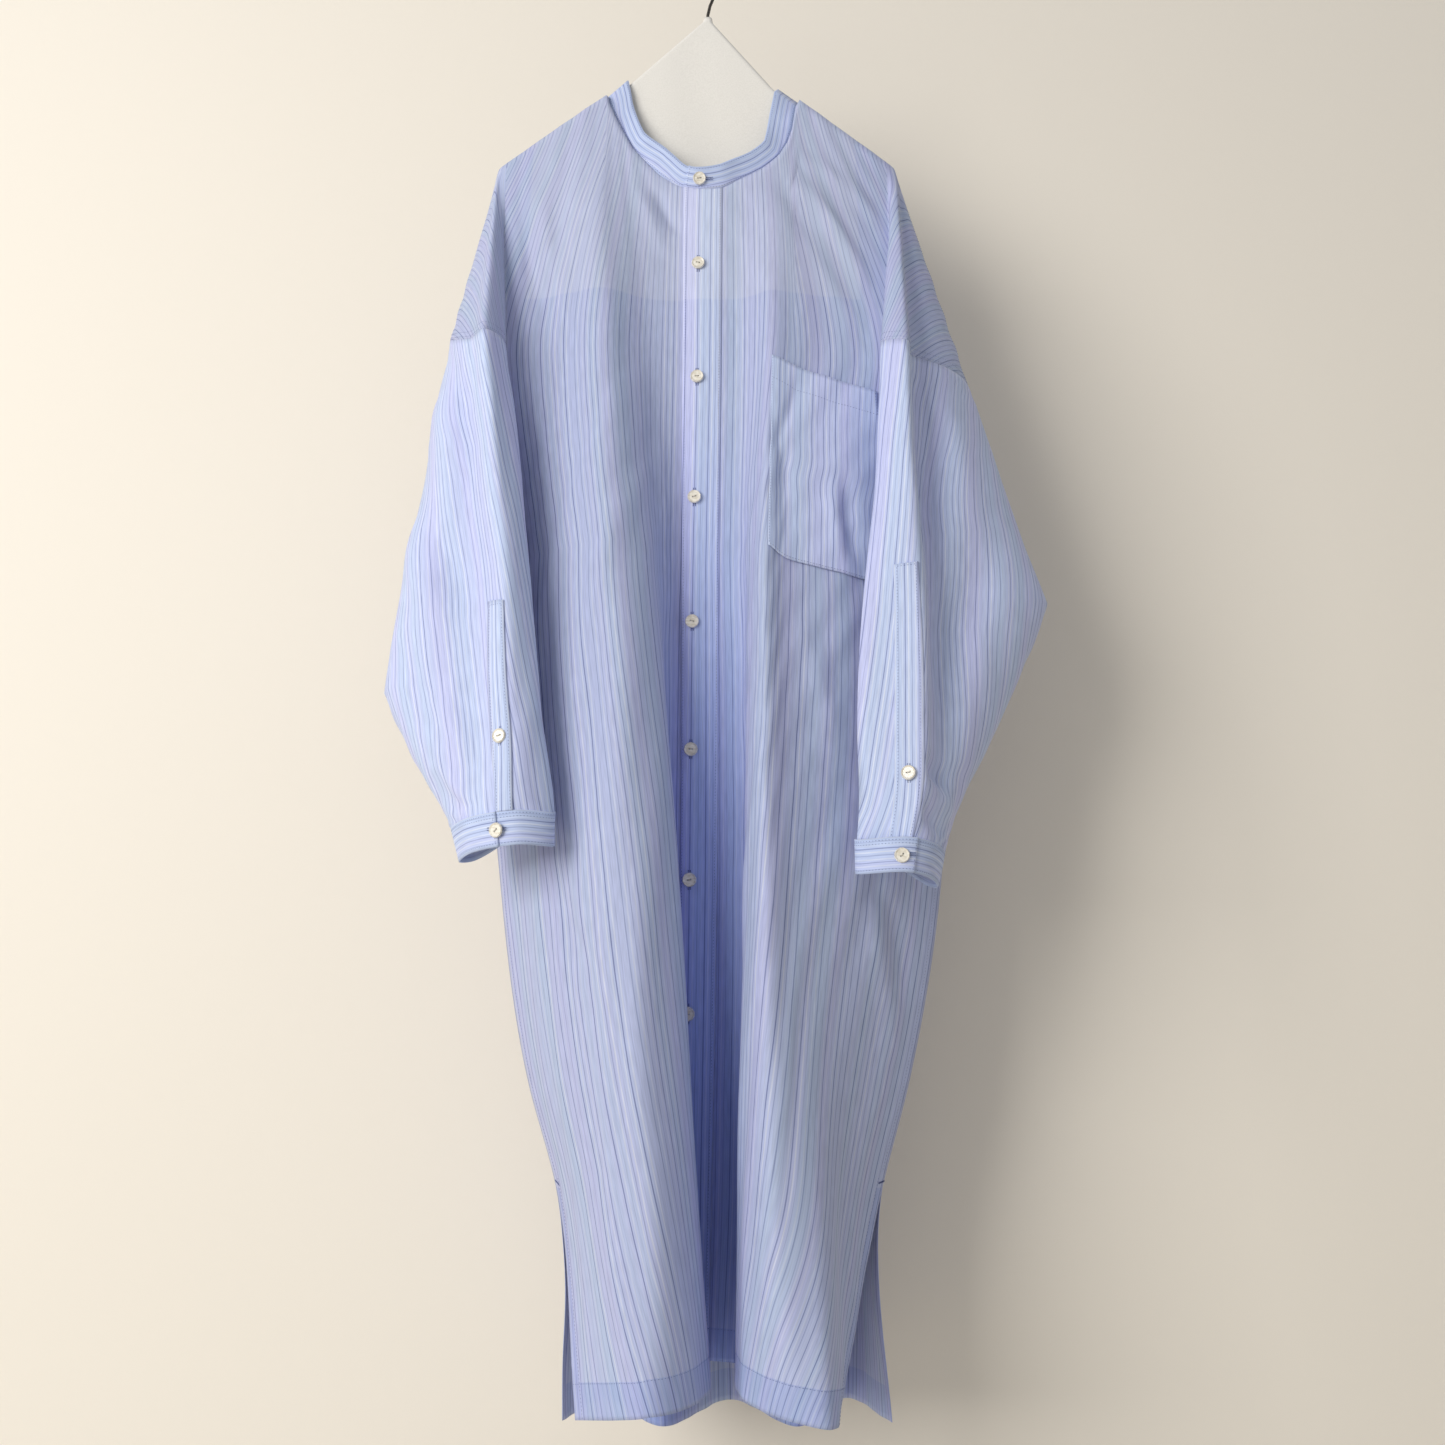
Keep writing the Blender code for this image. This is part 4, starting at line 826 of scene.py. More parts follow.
warp = maths(stripes, "SINE", maths(stripes, "MULTIPLY", across, 2 * math.pi / THREAD_PITCH))
weft = maths(stripes, "SINE", maths(stripes, "MULTIPLY", down, 2 * math.pi / THREAD_PITCH))
stripes.links.new(maths(stripes, "MULTIPLY", warp, weft), given.inputs["Height"])
rough = ranged(stripes, streak.outputs[0], 0.0, 1.0, 0.74, 0.92)
stripes.links.new(rough, given.inputs["Roughness"])
print("stripe nodes:", len(stripes.nodes))


# %% Striped cotton materials
HEM_DEPTH = 0.025
SLIT_HEM = 0.009
# Share of the light that the fronts stop
SHEER = 0.8
# Painted light: above the cover's lower edge the thin cloth is tinted paler, where the pale cover inside
# would show through
COVER_EDGE = -0.380
COVER_MIDDLE = -0.005
COVER_HALF_WIDTH = 0.147
PAINTED_COVER_SHARE = 0.14
PAINTED_COVER_LIGHT = (0.86, 0.86, 0.90, 1.0)


def painted_cover_share(tree):
    """Share of the paler tint painted where the cover shows through, by the place on the dress."""
    spots = add_node(tree, "ShaderNodeTexCoord")
    where = add_node(tree, "ShaderNodeSeparateXYZ", {0: spots.outputs["Object"]})
    aside = maths(tree, "ABSOLUTE", maths(tree, "SUBTRACT", where.outputs[0], COVER_MIDDLE))
    above = ranged(tree, where.outputs[2], COVER_EDGE - 0.001, COVER_EDGE + 0.001)
    within = ranged(tree, aside, COVER_HALF_WIDTH, COVER_HALF_WIDTH + 0.002, 1.0, 0.0)
    return maths(tree, "MULTIPLY", maths(tree, "MULTIPLY", above, within), PAINTED_COVER_SHARE)


def striped_cotton(name, hemmed=False, doubled_shade=0.0, sheer=1.0):
    """Cotton whose stripes follow the cut. Hemmed cloth gets painted shade where it lies double, and a paler
    tint painted where the cover would show through.
    """
    made, tree, shader = new_material(name)
    # Shadows are cast as if the cloth let nothing through
    made.use_transparent_shadow = False
    across, down = pair_of(tree, "cut")
    if hemmed:
        side, low = pair_of(tree, "trim")
        # Painted shade along the hems and slits, where the cloth lies double
        doubled_shade = maths(tree, "MAXIMUM", maths(tree, "LESS_THAN", side, SLIT_HEM),
                        maths(tree, "LESS_THAN", low, HEM_DEPTH))
    # The fold map brings the painted fold shade
    weave = add_node(tree, "ShaderNodeGroup", {"Across": across, "Down": down, "Doubled Shade": doubled_shade,
                                               "Fold Shade": pair_of(tree, "fold")[0]}, node_tree=stripes)
    bump = add_node(tree, "ShaderNodeBump", {"Height": weave.outputs["Height"], "Strength": 0.25,
                                             "Distance": 0.00006})
    colour = weave.outputs["Color"]
    # Painted light: a paler tint where the pale cover would show through the cloth
    if hemmed:
        colour = mixed(tree, painted_cover_share(tree), colour, PAINTED_COVER_LIGHT)
    set_inputs(tree, shader, {
        "Base Color": colour, "Roughness": weave.outputs["Roughness"], "Normal": bump.outputs[0],
        "Alpha": sheer, "Sheen Weight": 0.2, "Sheen Roughness": 0.4, "Specular IOR Level": 0.25})
    return made


front_cotton = striped_cotton("striped_cotton_fronts", hemmed=True, sheer=SHEER)
panel_cotton = striped_cotton("striped_cotton_panels", hemmed=True)
cotton = striped_cotton("striped_cotton")
# Collar and cuffs lie double all over, so all of them gets a light painted shade
double_cotton = striped_cotton("striped_cotton_doubled", doubled_shade=0.25)
print("materials:", [item.name for item in (front_cotton, panel_cotton, cotton, double_cotton)])

# %% [markdown]
# Sheets of cloth
#
# Every piece of cloth becomes one thin shell. Its points are merged where grids meet, and each point
# carries its place on the flat cut in a UV map, in metres: across the stripes and along them.

# %% Mesh from grids
MM = 0.001
CLOTH = 0.5
# Points that agree to one part in this many of a millimetre are merged
MERGE = 20


def placed(name, data):
    """A new object in the scene."""
    made = bpy.data.objects.new(name, data)
    bpy.context.scene.collection.objects.link(made)
    return made


def add_uv(mesh, name, values):
    mesh.uv_layers.new(name=name).data.foreach_set("uv", values.ravel().astype(np.float32))


def cloth_piece(name, parts, material, thick=CLOTH):
    """One shell from parts: each a grid of points in mm, its cut coordinates and a flip."""
    points, cuts, faces = [], [], []
    start = 0
    for grid, cut, flip in parts:
        rows, cols = grid.shape[:2]
        ids = np.arange(rows * cols).reshape(rows, cols) + start
        quads = np.stack([ids[:-1, :-1], ids[1:, :-1], ids[1:, 1:], ids[:-1, 1:]], -1).reshape(-1, 4)
        faces.append(quads[:, ::-1] if flip else quads)
        points.append(grid.reshape(-1, 3))
        cuts.append(cut.reshape(-1, cut.shape[-1]))
        start += rows * cols
    points, cuts, faces = np.concatenate(points), np.concatenate(cuts), np.concatenate(faces)
    whole = np.round(points * MERGE).astype(int)
    _, first, inverse = np.unique(whole, axis=0, return_index=True, return_inverse=True)
    corner_cuts = cuts[faces]
    faces = inverse.reshape(-1)[faces]
    made = []
    kept = []
    for face, own in zip(faces.tolist(), corner_cuts):
        spots = [k for k in range(4) if face[k] != face[k - 1]]
        if len(spots) > 2:
            made.append([face[k] for k in spots])
            kept.append(own[spots])
    mesh = bpy.data.meshes.new(name)
    mesh.from_pydata((points[first] * MM).tolist(), [], made)
    flat = np.concatenate(kept)
    add_uv(mesh, "cut", flat[:, :2] * MM)
    depth = np.zeros((len(flat), 1))
    if flat.shape[1] > 2:
        add_uv(mesh, "trim", flat[:, 2:4] * MM)
        depth = flat[:, 4:]
    # The fold map holds the share of painted shade in the folds
    add_uv(mesh, "fold", np.repeat(depth, 2, 1))
    mesh.shade_smooth()
    mesh.materials.append(material)
    piece = placed(name, mesh)
    solid = piece.modifiers.new("cloth wall", "SOLIDIFY")
    solid.thickness = thick * MM
    solid.offset = 0.0
    print(name, "points", len(mesh.vertices), "faces", len(mesh.polygons))
    return piece


# %% Cut coordinates
# Distance from an edge that counts as none, and how deep behind the crests a point lies where its painted
# fold shade starts and is full
FAR = 90.0
FOLD_SHADE_START = 30.0
FOLD_SHADE_SPAN = 80.0


def fold_shade_of(grid, toward):
    """How far each point of a row lies behind the line that spans its crests, from 0 to 1: the share of
    painted shade in the folds.
    """
    deep = np.zeros(grid.shape[:2])
    for row in range(len(grid)):
        order = np.argsort(grid[row, :, 0])
        x, y = grid[row, order, 0], grid[row, order, 1] * toward
        crest = []
        for k in range(len(x)):
            while len(crest) > 1:
                i, j = crest[-2], crest[-1]
                if (x[j] - x[i]) * (y[k] - y[i]) - (y[j] - y[i]) * (x[k] - x[i]) >= 0:
                    crest.pop()
                else:
                    break
            crest.append(k)
        deep[row, order] = np.interp(x, x[crest], y[crest]) - y
    return np.clip((deep - FOLD_SHADE_START) / FOLD_SHADE_SPAN, 0, 1)



def body_cut(grid, zero, toward):
    """Across from the centre line and down, the distances from side edge and hem, and the share of painted
    fold shade.
    """
    run = chords(grid)
    run = run - run[:, zero:zero + 1]
    across = run.copy()
    for row in range(ROW_UNDERARM + 1, len(run)):
        across[row, :zero] *= run[ROW_UNDERARM, 0] / run[row, 0]
        across[row, zero:] *= run[ROW_UNDERARM, -1] / run[row, -1]
    down = runs_down(grid)
    side = np.minimum(run - run[:, :1], run[:, -1:] - run)
    side[:ROW_SLIT] = FAR
    return np.stack([across, down, side, down[-1:] - down, fold_shade_of(grid, toward)], 2)


def fan_cut_of(grid, edge_across, edge_down):
    """The shoulder's cloth turns about the hanger's end, so its grain turns with it."""
    run = chords(grid)
    tip = grid[0, FAN_OUTER]
    reach = np.linalg.norm(grid - tip, axis=2)
    share = abs(run - run[:, FAN_OUTER:FAN_OUTER + 1])
    ends = np.where(np.arange(grid.shape[1]) <= FAN_OUTER, share[:, :1], share[:, -1:])
    turn = math.pi / 2 * share / np.maximum(ends, 1e-6)
    across = abs(edge_across) + reach * np.cos(turn)
    down = edge_down + reach * np.sin(turn)
    far = np.full(across.shape, FAR)
    return np.stack([np.sign(edge_across) * across, down, far, far, 0 * far], 2)


SLEEVE_GRAIN_LEAN = 0.15


def sleeve_cut(grid, w):
    """Stripes run down the sleeve and lean in toward the cuff."""
    ridge = int(np.argmin(abs(w - 3.0)))
    run, down = chords(grid), runs_down(grid)
    middle = down[:, ridge:ridge + 1]
    return np.stack([run - run[:, ridge:ridge + 1] + SLEEVE_GRAIN_LEAN * middle, down], 2)


def plain_cut(grid, turned=False, shift=0.0):
    """A strip's own cut; turned has the stripes run round it."""
    run, down = chords(grid), runs_down(grid)
    return np.stack([down + shift, run] if turned else [run + shift, down], 2)


# %% Fronts, band, back and sleeves
band_cut = int(np.argmin(abs(front_u - U_EDGE)))
seam_cut = int(np.argmin(abs(front_u - U_SEAM)))
centre_cut = int(np.argmin(abs(front_u - U_CENTRE)))
back_centre = int(np.argmin(abs(back_u - BACK.line("far_centre"))))
front_cut = body_cut(front, centre_cut, -1.0)
back_cut = body_cut(back, back_centre, 1.0)
# The shoulder roll ends at this row, where the fans' own cut begins
roll_end = ROWS["roll"]
fan_cuts = {"right": fan_cut_of(fans["right"], *front_cut[roll_end, 0, :2]),
            "left": fan_cut_of(fans["left"], *front_cut[roll_end, -1, :2])}
pieces = {}
pieces["front_right_panel"] = cloth_piece("front_right_cloth", [
    (under_layer[:, :seam_cut + 1], front_cut[:, :seam_cut + 1], False),
    (fans["right"][:, :FAN_OUTER + 1], fan_cuts["right"][:, :FAN_OUTER + 1], True)], front_cotton)
pieces["front_left_panel"] = cloth_piece("front_left_cloth", [
    (top_layer[:, seam_cut:], front_cut[:, seam_cut:], False),
    (fans["left"][:, :FAN_OUTER + 1], fan_cuts["left"][:, :FAN_OUTER + 1], False)], front_cotton)
pieces["button_band"] = cloth_piece("button_band_cloth", [
    (top_layer[:, band_cut:seam_cut + 1], front_cut[:, band_cut:seam_cut + 1], False)], panel_cotton, 0.9)
pieces["back_panel"] = cloth_piece("back_cloth", [
    (back_layer, back_cut, False),
    (fans["right"][:, FAN_OUTER:], fan_cuts["right"][:, FAN_OUTER:], True),
    (fans["left"][:, FAN_OUTER:], fan_cuts["left"][:, FAN_OUTER:], False)], panel_cotton)
for side, (w, grid) in sleeves.items():
    pieces["sleeve_" + side] = cloth_piece(f"sleeve_{side}_cloth", [
        (grid, sleeve_cut(grid, w), side == "right")], cotton)

# %% [markdown]
# Reading a place on the cloth
#
# The pocket, plackets, sewing and thread all lie on a panel. Each is made from the panel's own
# creased points, moved out a little, so it follows every fold under it.

# %% Sheets that can be read at any place
class Sheet:
    """A grid of points read at fractional row and column numbers, and moved out."""

    def __init__(self, grid, turn=1.0):
        self.grid = grid
        self.out = surface_normals(grid) * turn

    def read(self, values, row, column):
        rows, cols = values.shape[:2]
        row = np.clip(row, 0, rows - 1.001)
        column = np.clip(column, 0, cols - 1.001)
        r, c = row.astype(int), column.astype(int)
        fr, fc = (row - r)[..., None], (column - c)[..., None]
        return ((values[r, c] * (1 - fc) + values[r, c + 1] * fc) * (1 - fr)
                + (values[r + 1, c] * (1 - fc) + values[r + 1, c + 1] * fc) * fr)

    def at(self, row, column, lift=0.0):
        row, column = np.broadcast_arrays(np.asarray(row, float), np.asarray(column, float))
        out = self.read(self.out, row, column)
        out = out / np.maximum(np.linalg.norm(out, axis=-1, keepdims=True), 1e-9)
        return self.read(self.grid, row, column) + out * np.asarray(lift, float)[..., None], out


def body_place(base, u_known, u, z):
    """Row and column numbers of a fold line number and a height."""
    u, z = np.broadcast_arrays(np.asarray(u, float), np.asarray(z, float))
    column = np.interp(u, u_known, np.arange(len(u_known)))
    near = np.rint(column).astype(int)
    row = np.array([np.interp(-h, -base[:, c, 2], np.arange(len(base)))
                    for c, h in zip(near.ravel(), z.ravel())])
    return row.reshape(u.shape), column


top_sheet = Sheet(top_layer)
under_sheet = Sheet(under_layer)
back_sheet = Sheet(back_layer)
sleeve_sheets = {side: Sheet(grid, TURN[side]) for side, (w, grid) in sleeves.items()}
fan_sheets = {side: Sheet(grid, TURN[side]) for side, grid in fans.items()}
print("sheets to read:", 3 + len(sleeve_sheets) + len(fan_sheets))

# %% Chest pocket
POCKET_FOLDS = (10.15, 12.62)
POCKET_TOP = (-446.0, -470.0)
POCKET_BOTTOM = (-622.0, -646.0)
POCKET_LIFT = 1.9
# How far the mouth stands off, and the height of its small waves
POCKET_GAPE = 1.6
POCKET_WAVE = 0.5


def pocket_place(share, depth):
    """Share from the inner edge to the outer one, and from the top edge to the bottom one."""
    u = POCKET_FOLDS[0] + (POCKET_FOLDS[1] - POCKET_FOLDS[0]) * share
    upper = POCKET_TOP[0] + (POCKET_TOP[1] - POCKET_TOP[0]) * share
    lower = POCKET_BOTTOM[0] + (POCKET_BOTTOM[1] - POCKET_BOTTOM[0]) * share
    return body_place(front, front_u, u, upper + (lower - upper) * depth)


pocket_across, pocket_down = np.meshgrid(np.linspace(0, 1, 44), np.linspace(0, 1, 50))
pocket_row, pocket_column = pocket_place(pocket_across, pocket_down)
mouth = np.exp(-pocket_down * 9) * np.sin(math.pi * pocket_across) * POCKET_GAPE
wave = POCKET_WAVE * np.sin(pocket_across * 17 + 2.0 * pocket_down) * np.sin(math.pi * pocket_down)
pocket_grid, _ = top_sheet.at(pocket_row, pocket_column, POCKET_LIFT + mouth + wave)
pieces["chest_pocket"] = cloth_piece("chest_pocket_cloth", [
    (pocket_grid, plain_cut(pocket_grid, shift=3.0), False)], cotton, 0.7)

# %% Sleeve plackets
PLACKET_LIFT = 1.3
# Ring number where a placket ends, just above the cuff
PLACKET_FOOT = 5.97


def placket_place(side, share, depth):
    """Share of the way across the placket, and from its top to the cuff."""
    first, last = PLACKET_FOLDS[side]
    w = sleeves[side][0]
    column = np.interp(first + (last - first) * share, w, np.arange(len(w)))
    row = (PLACKET_TOP[side] + (PLACKET_FOOT - PLACKET_TOP[side]) * depth) * SLEEVE_STEPS
    return row, column


for side in sleeves:
    share, depth = np.meshgrid(np.linspace(0, 1, 7), np.linspace(0, 1, 56))
    grid, _ = sleeve_sheets[side].at(*placket_place(side, share, depth), PLACKET_LIFT)
    pieces["sleeve_placket_" + side] = cloth_piece(f"sleeve_placket_{side}_cloth", [
        (grid, plain_cut(grid, shift=2.0), side == "right")], cotton, 0.8)

# %% Cuffs
CUFF_HEIGHT = 26.5
CUFF_ROWS = 10
# Fold lines by which the free end laps over the start, and where its lift has faded out
CUFF_LAP = 1.0
LAP_END = 2.1
CUFF_END = {"right": 3.6, "left": 3.15}
# The cuff narrows toward this x
CUFF_LIMB = {"right": -109.0, "left": 125.0}
CUFF_TAPER = 0.09
CUFF_WAVE = 0.35
cuffs = {}
for side in sleeves:
    turned = np.linspace(0, 10 + CUFF_LAP, 150)
    around = CUFF_END[side] - TURN[side] * turned
    ring = ring_points(side, 5, np.mod(around, 10.0))
    middle = ring.mean(axis=0)
    shares = np.linspace(0, 1, CUFF_ROWS)
    rows = []
    for share in shares:
        row = ring.copy()
        row[:, 0] = CUFF_LIMB[side] + (row[:, 0] - CUFF_LIMB[side]) * (1 - CUFF_TAPER * share)
        row[:, 2] += 0.8 - CUFF_HEIGHT * share
        rows.append(row)
    grid = np.array(rows)
    out = surface_normals(grid)
    out *= np.sign(((grid - middle) * out * (1, 1, 0)).sum())
    start = np.clip(LAP_END - turned / CUFF_LAP, 0, 1)
    wave = CUFF_WAVE * np.sin(np.linspace(0, 31, len(turned)))[None, :] * np.sin(math.pi * shares)[:, None]
    grid = grid + out * ((LAP * start * start * (3 - 2 * start))[None, :] + 0.5 + wave)[..., None]
    flip = float((np.cross(np.gradient(grid, axis=0), np.gradient(grid, axis=1)) * out).sum()) < 0
    cuffs[side] = (Sheet(grid, -1.0 if flip else 1.0), around)
    pieces["cuff_" + side] = cloth_piece(f"cuff_{side}_cloth", [
        (grid, plain_cut(grid, turned=True, shift=2.5), flip)], double_cotton, 1.2)

# %% Band collar
COLLAR_ROWS = 8
neck_right = int(np.argmin(abs(front_u - FRONT.line("crest_right"))))
neck_left = int(np.argmin(abs(front_u - FRONT.line("fall_left"))))
back_left = int(np.argmin(abs(back_u - BACK.line("near_left"))))
back_right = int(np.argmin(abs(back_u - BACK.line("near_right"))))


def collar_rows(seam, table):
    """From the upper edge down to the seam, rounded a little outward."""
    spots = neck_at(table, seam[:, 0])
    shift = seam - spots[:, :3]
    upper = spots[:, 3:6] + shift
    shares = np.linspace(0, 1, COLLAR_ROWS)[:, None, None]
    return upper + (seam - upper) * shares


collar_under = collar_rows(under_layer[0, neck_right:seam_cut + 1], NECK_FRONT)
collar_behind = collar_rows(back_layer[0, back_left:back_right + 1], NECK_BACK)
collar_over = collar_rows(top_layer[0, band_cut:neck_left + 1], NECK_FRONT)
pieces["collar_band"] = cloth_piece("collar_band_cloth", [
    (part, plain_cut(part, turned=True, shift=4.0), False)
    for part in (collar_under, collar_over, collar_behind)], double_cotton, 1.2)

# %% [markdown]
# Sewing
#
# Topstitching is a row of short thread loops. Each stitch is a small raised lozenge laid on the
# cloth, a little apart from the next one. As geometry it holds at any distance, and one mesh carries
# all of them.

# %% Rows of stitches
STITCH = {"pitch": 2.6, "length": 1.7, "width": 0.42, "rise": 0.2}
stitch_points, stitch_faces = [], []
LOZENGE = np.array([(0, 1, 4), (1, 2, 4), (2, 3, 4), (3, 0, 4), (1, 0, 5), (2, 1, 5), (3, 2, 5), (0, 3, 5)])


def add_lozenges(begin, end, out, width, rise):
    """Raised lozenges from each begin point to its end point."""
    start = sum(len(block) for block in stitch_points)
    across = np.cross(out, end - begin)
    across /= np.maximum(np.linalg.norm(across, axis=1, keepdims=True), 1e-9)
    middle = (begin + end) / 2
    block = np.stack([begin, middle + across * width / 2, end, middle - across * width / 2,
                      middle + out * rise, middle - out * 0.1], 1)
    stitch_points.append(block.reshape(-1, 3))
    stitch_faces.append((np.arange(len(begin))[:, None, None] * 6 + LOZENGE + start).reshape(-1, 3))


def sew(line):
    """Stitches along a line of points with their outward directions."""
    points, out = line
    run = np.concatenate([[0], np.cumsum(np.linalg.norm(np.diff(points, axis=0), axis=1))])
    count = max(2, int(run[-1] / STITCH["pitch"]))
    centres = (np.arange(count) + 0.5) * run[-1] / count

    def read(values, place):
        return np.stack([np.interp(place, run, values[:, k]) for k in range(3)], 1)

    half = STITCH["length"] / 2
    add_lozenges(read(points, centres - half), read(points, centres + half), read(out, centres),
                 STITCH["width"], STITCH["rise"])


def row_above_hem(cut, height):
    """Fractional row at a height above the hem, for every column."""
    return np.array([np.interp(-height, -column, np.arange(len(cut))) for column in cut[:, :, 3].T])


# %% Sew the hems, slits, seams and band
# Stitches lie this far above the middle of the cloth, and this far in from the edges, in mm
ON_CLOTH = 0.32
HEM_LINE = 24.0
SLIT_LINE = 8.0
SEAM_LINE = 5.0
front_columns = np.arange(front.shape[1])
back_columns = np.arange(back.shape[1])
front_hem_row = row_above_hem(front_cut, HEM_LINE)
back_hem_row = row_above_hem(back_cut, HEM_LINE)
right_part = front_columns <= band_cut
sew(under_sheet.at(front_hem_row[right_part], front_columns[right_part], ON_CLOTH))
sew(top_sheet.at(front_hem_row[~right_part], front_columns[~right_part], ON_CLOTH + 0.2))
sew(back_sheet.at(back_hem_row, back_columns, ON_CLOTH))


def side_line(sheet, cut, rows, distance, last):
    """Stitches at an even distance from a side edge."""
    run = abs(cut[:, :, 0] - (cut[:, -1:, 0] if last else cut[:, :1, 0]))
    columns = []
    for row in rows:
        known = run[int(row)]
        order = np.argsort(known)
        columns.append(np.interp(distance, known[order], np.arange(len(known))[order]))
    sew(sheet.at(rows, np.array(columns), ON_CLOTH))


slit_rows = np.arange(ROW_SLIT - 2, front.shape[0])
seam_rows = np.arange(ROW_UNDERARM + 2, ROW_SLIT - 2)
for sheet, cut, last in ((under_sheet, front_cut, False), (back_sheet, back_cut, False),
                         (top_sheet, front_cut, True), (back_sheet, back_cut, True)):
    side_line(sheet, cut, slit_rows, SLIT_LINE, last)
    side_line(sheet, cut, seam_rows, SEAM_LINE, last)

# Band, from the collar to the hem, near both of its edges
band_rows = np.arange(1, front.shape[0])
for column in (band_cut + 0.7, seam_cut - 0.6):
    sew(top_sheet.at(band_rows, column, 0.5))

# Armhole seams in two rows, and the shoulder seam
for side, sheet in fan_sheets.items():
    columns = np.linspace(2, fans[side].shape[1] - 3, 160)
    for row in (ROW_ARMHOLE - 0.9, ROW_ARMHOLE - 2.6):
        sew(sheet.at(row, columns, ON_CLOTH))
    sew(sheet.at(np.arange(4, ROW_ARMHOLE), FAN_OUTER - 0.9, ON_CLOTH))

print("stitches:", sum(len(block) for block in stitch_points) // 6)

# %% Sewing of the pocket, plackets, cuffs and collar
pocket_sheet = Sheet(pocket_grid)
last_row, last_column = pocket_grid.shape[0] - 1, pocket_grid.shape[1] - 1
POCKET_EDGE = 0.55
POCKET_MOUTH = 6.0
# Heights above the cloth in mm: on the pocket, on the plackets and on the double cloth
ON_POCKET = 0.4
ON_PLACKET = PLACKET_LIFT + 0.45
ON_DOUBLE = 0.65
down_rows = np.linspace(0.4, last_row - POCKET_EDGE, 120)
side_columns = np.linspace(POCKET_EDGE, last_column - POCKET_EDGE, 120)
for column in (POCKET_EDGE, last_column - POCKET_EDGE):
    sew(pocket_sheet.at(down_rows, column, ON_POCKET))
for row in (last_row - POCKET_EDGE, POCKET_MOUTH):
    sew(pocket_sheet.at(row, side_columns, ON_POCKET))

for side, sheet in sleeve_sheets.items():
    for share in (0.12, 0.88):
        sew(sheet.at(*placket_place(side, share, np.linspace(0.01, 0.99, 120)), ON_PLACKET))
    sew(sheet.at(*placket_place(side, np.linspace(0.1, 0.9, 20), 0.01), ON_PLACKET))
    cuff, around = cuffs[side]
    columns = np.linspace(0.5, len(around) - 1.5, 300)
    for row in (0.7, 1.6, 8.2):
        sew(cuff.at(row, columns, ON_DOUBLE))
    sew(cuff.at(np.linspace(1.6, 8.2, 30), 1.2, ON_DOUBLE))

for part in (collar_under, collar_behind, collar_over):
    columns = np.linspace(0.6, part.shape[1] - 1.6, 240)
    for row in (0.6, COLLAR_ROWS - 1.6):
        sew(Sheet(part).at(row, columns, ON_DOUBLE))
sew(Sheet(collar_over).at(np.linspace(0.6, COLLAR_ROWS - 1.6, 24), 0.7, ON_DOUBLE))
print("stitches so far:", sum(len(block) for block in stitch_points) // 6)


# %% Bar tacks and buttonholes
SATIN_PITCH = 0.55


def spot_on(sheet, row, column, lift):
    """One point of a sheet and its outward direction."""
    point, out = sheet.at(np.array([row]), np.array([column]), lift)
    return point[0], out[0]


def satin(point, out, along, length, reach, gap):
    """Close stitches across a line: a bar tack, or with a gap the two sides of a buttonhole."""
    along = along - out * along.dot(out)
    along /= np.linalg.norm(along)
    across = np.cross(out, along)
    steps = np.arange(-length / 2, length / 2 + SATIN_PITCH / 2, SATIN_PITCH)
    centre = point + steps[:, None] * along
    many = np.repeat(out[None], len(steps), 0)
    for sign in ((1.0, -1.0) if gap else (1.0,)):
        begin = centre + across * (sign * gap if gap else -reach)
        add_lozenges(begin, centre + across * sign * reach, many, SATIN_PITCH, STITCH["rise"])


DOWN = np.array([0.0, 0.0, -1.0])
SIDEWAYS = np.array([1.0, 0.0, 0.0])
for sheet, column in ((under_sheet, 1.6), (top_sheet, front.shape[1] - 2.6), (back_sheet, 1.6),
                      (back_sheet, back.shape[1] - 2.6)):
    point, out = spot_on(sheet, ROW_SLIT - 1.0, column, 0.4)
    satin(point, out, SIDEWAYS, 8.0, 1.0, 0.0)

BUTTON_TOP = -345.5
BUTTON_SPACING = 108.4
BUTTONS_DOWN = 7
# Half widths of a buttonhole and of its slot
HOLE_REACH = 1.5
HOLE_GAP = 0.35
# Outward direction of each button, and the turn of its thread
button_spots = {}
for number in range(BUTTONS_DOWN):
    height = BUTTON_TOP - BUTTON_SPACING * number
    row, column = body_place(front, front_u, np.array([U_CENTRE]), np.array([height]))
    point, out = spot_on(top_sheet, row[0], column[0], 0.5)
    satin(point, out, DOWN, 16.0, HOLE_REACH, HOLE_GAP)
    button_spots[f"button_front_{number + 1}"] = (out, 0.25 * ((number % 3) - 1))
point, out = spot_on(Sheet(collar_over), (COLLAR_ROWS - 1) / 2, centre_cut - band_cut, 0.7)
satin(point + (3.5, 0, -1.0), out, SIDEWAYS, 17.0, HOLE_REACH, HOLE_GAP)
button_spots["button_collar"] = (out, 0.1)
PLACKET_BUTTON = {"right": 3.85, "left": 4.65}
CUFF_BUTTON = {"right": 3.2, "left": 2.85}
for side, sheet in sleeve_sheets.items():
    w = sleeves[side][0]
    column = np.interp(sum(PLACKET_FOLDS[side]) / 2, w, np.arange(len(w)))
    point, out = spot_on(sheet, PLACKET_BUTTON[side] * SLEEVE_STEPS, column, ON_PLACKET)
    satin(point, out, DOWN, 15.0, 1.4, HOLE_GAP)
    button_spots["button_placket_" + side] = (out, 0.2)
    cuff, around = cuffs[side]
    column = float(np.argmin(abs(around - CUFF_BUTTON[side])))
    point, out = spot_on(cuff, 4.5, column, 0.7)
    satin(point, out, SIDEWAYS, 16.0, HOLE_REACH, HOLE_GAP)
    button_spots["button_cuff_" + side] = (out, 0.8)
print("buttonholes:", len(button_spots))


# %% Helper for plain meshes
def plain_mesh(name, points, faces, material):
    """A mesh from points in mm and faces, in the scene."""
    mesh = bpy.data.meshes.new(name)
    mesh.from_pydata((np.asarray(points) * MM).tolist(), [], np.asarray(faces).tolist())
    mesh.shade_smooth()
    mesh.materials.append(material)
    return placed(name, mesh)


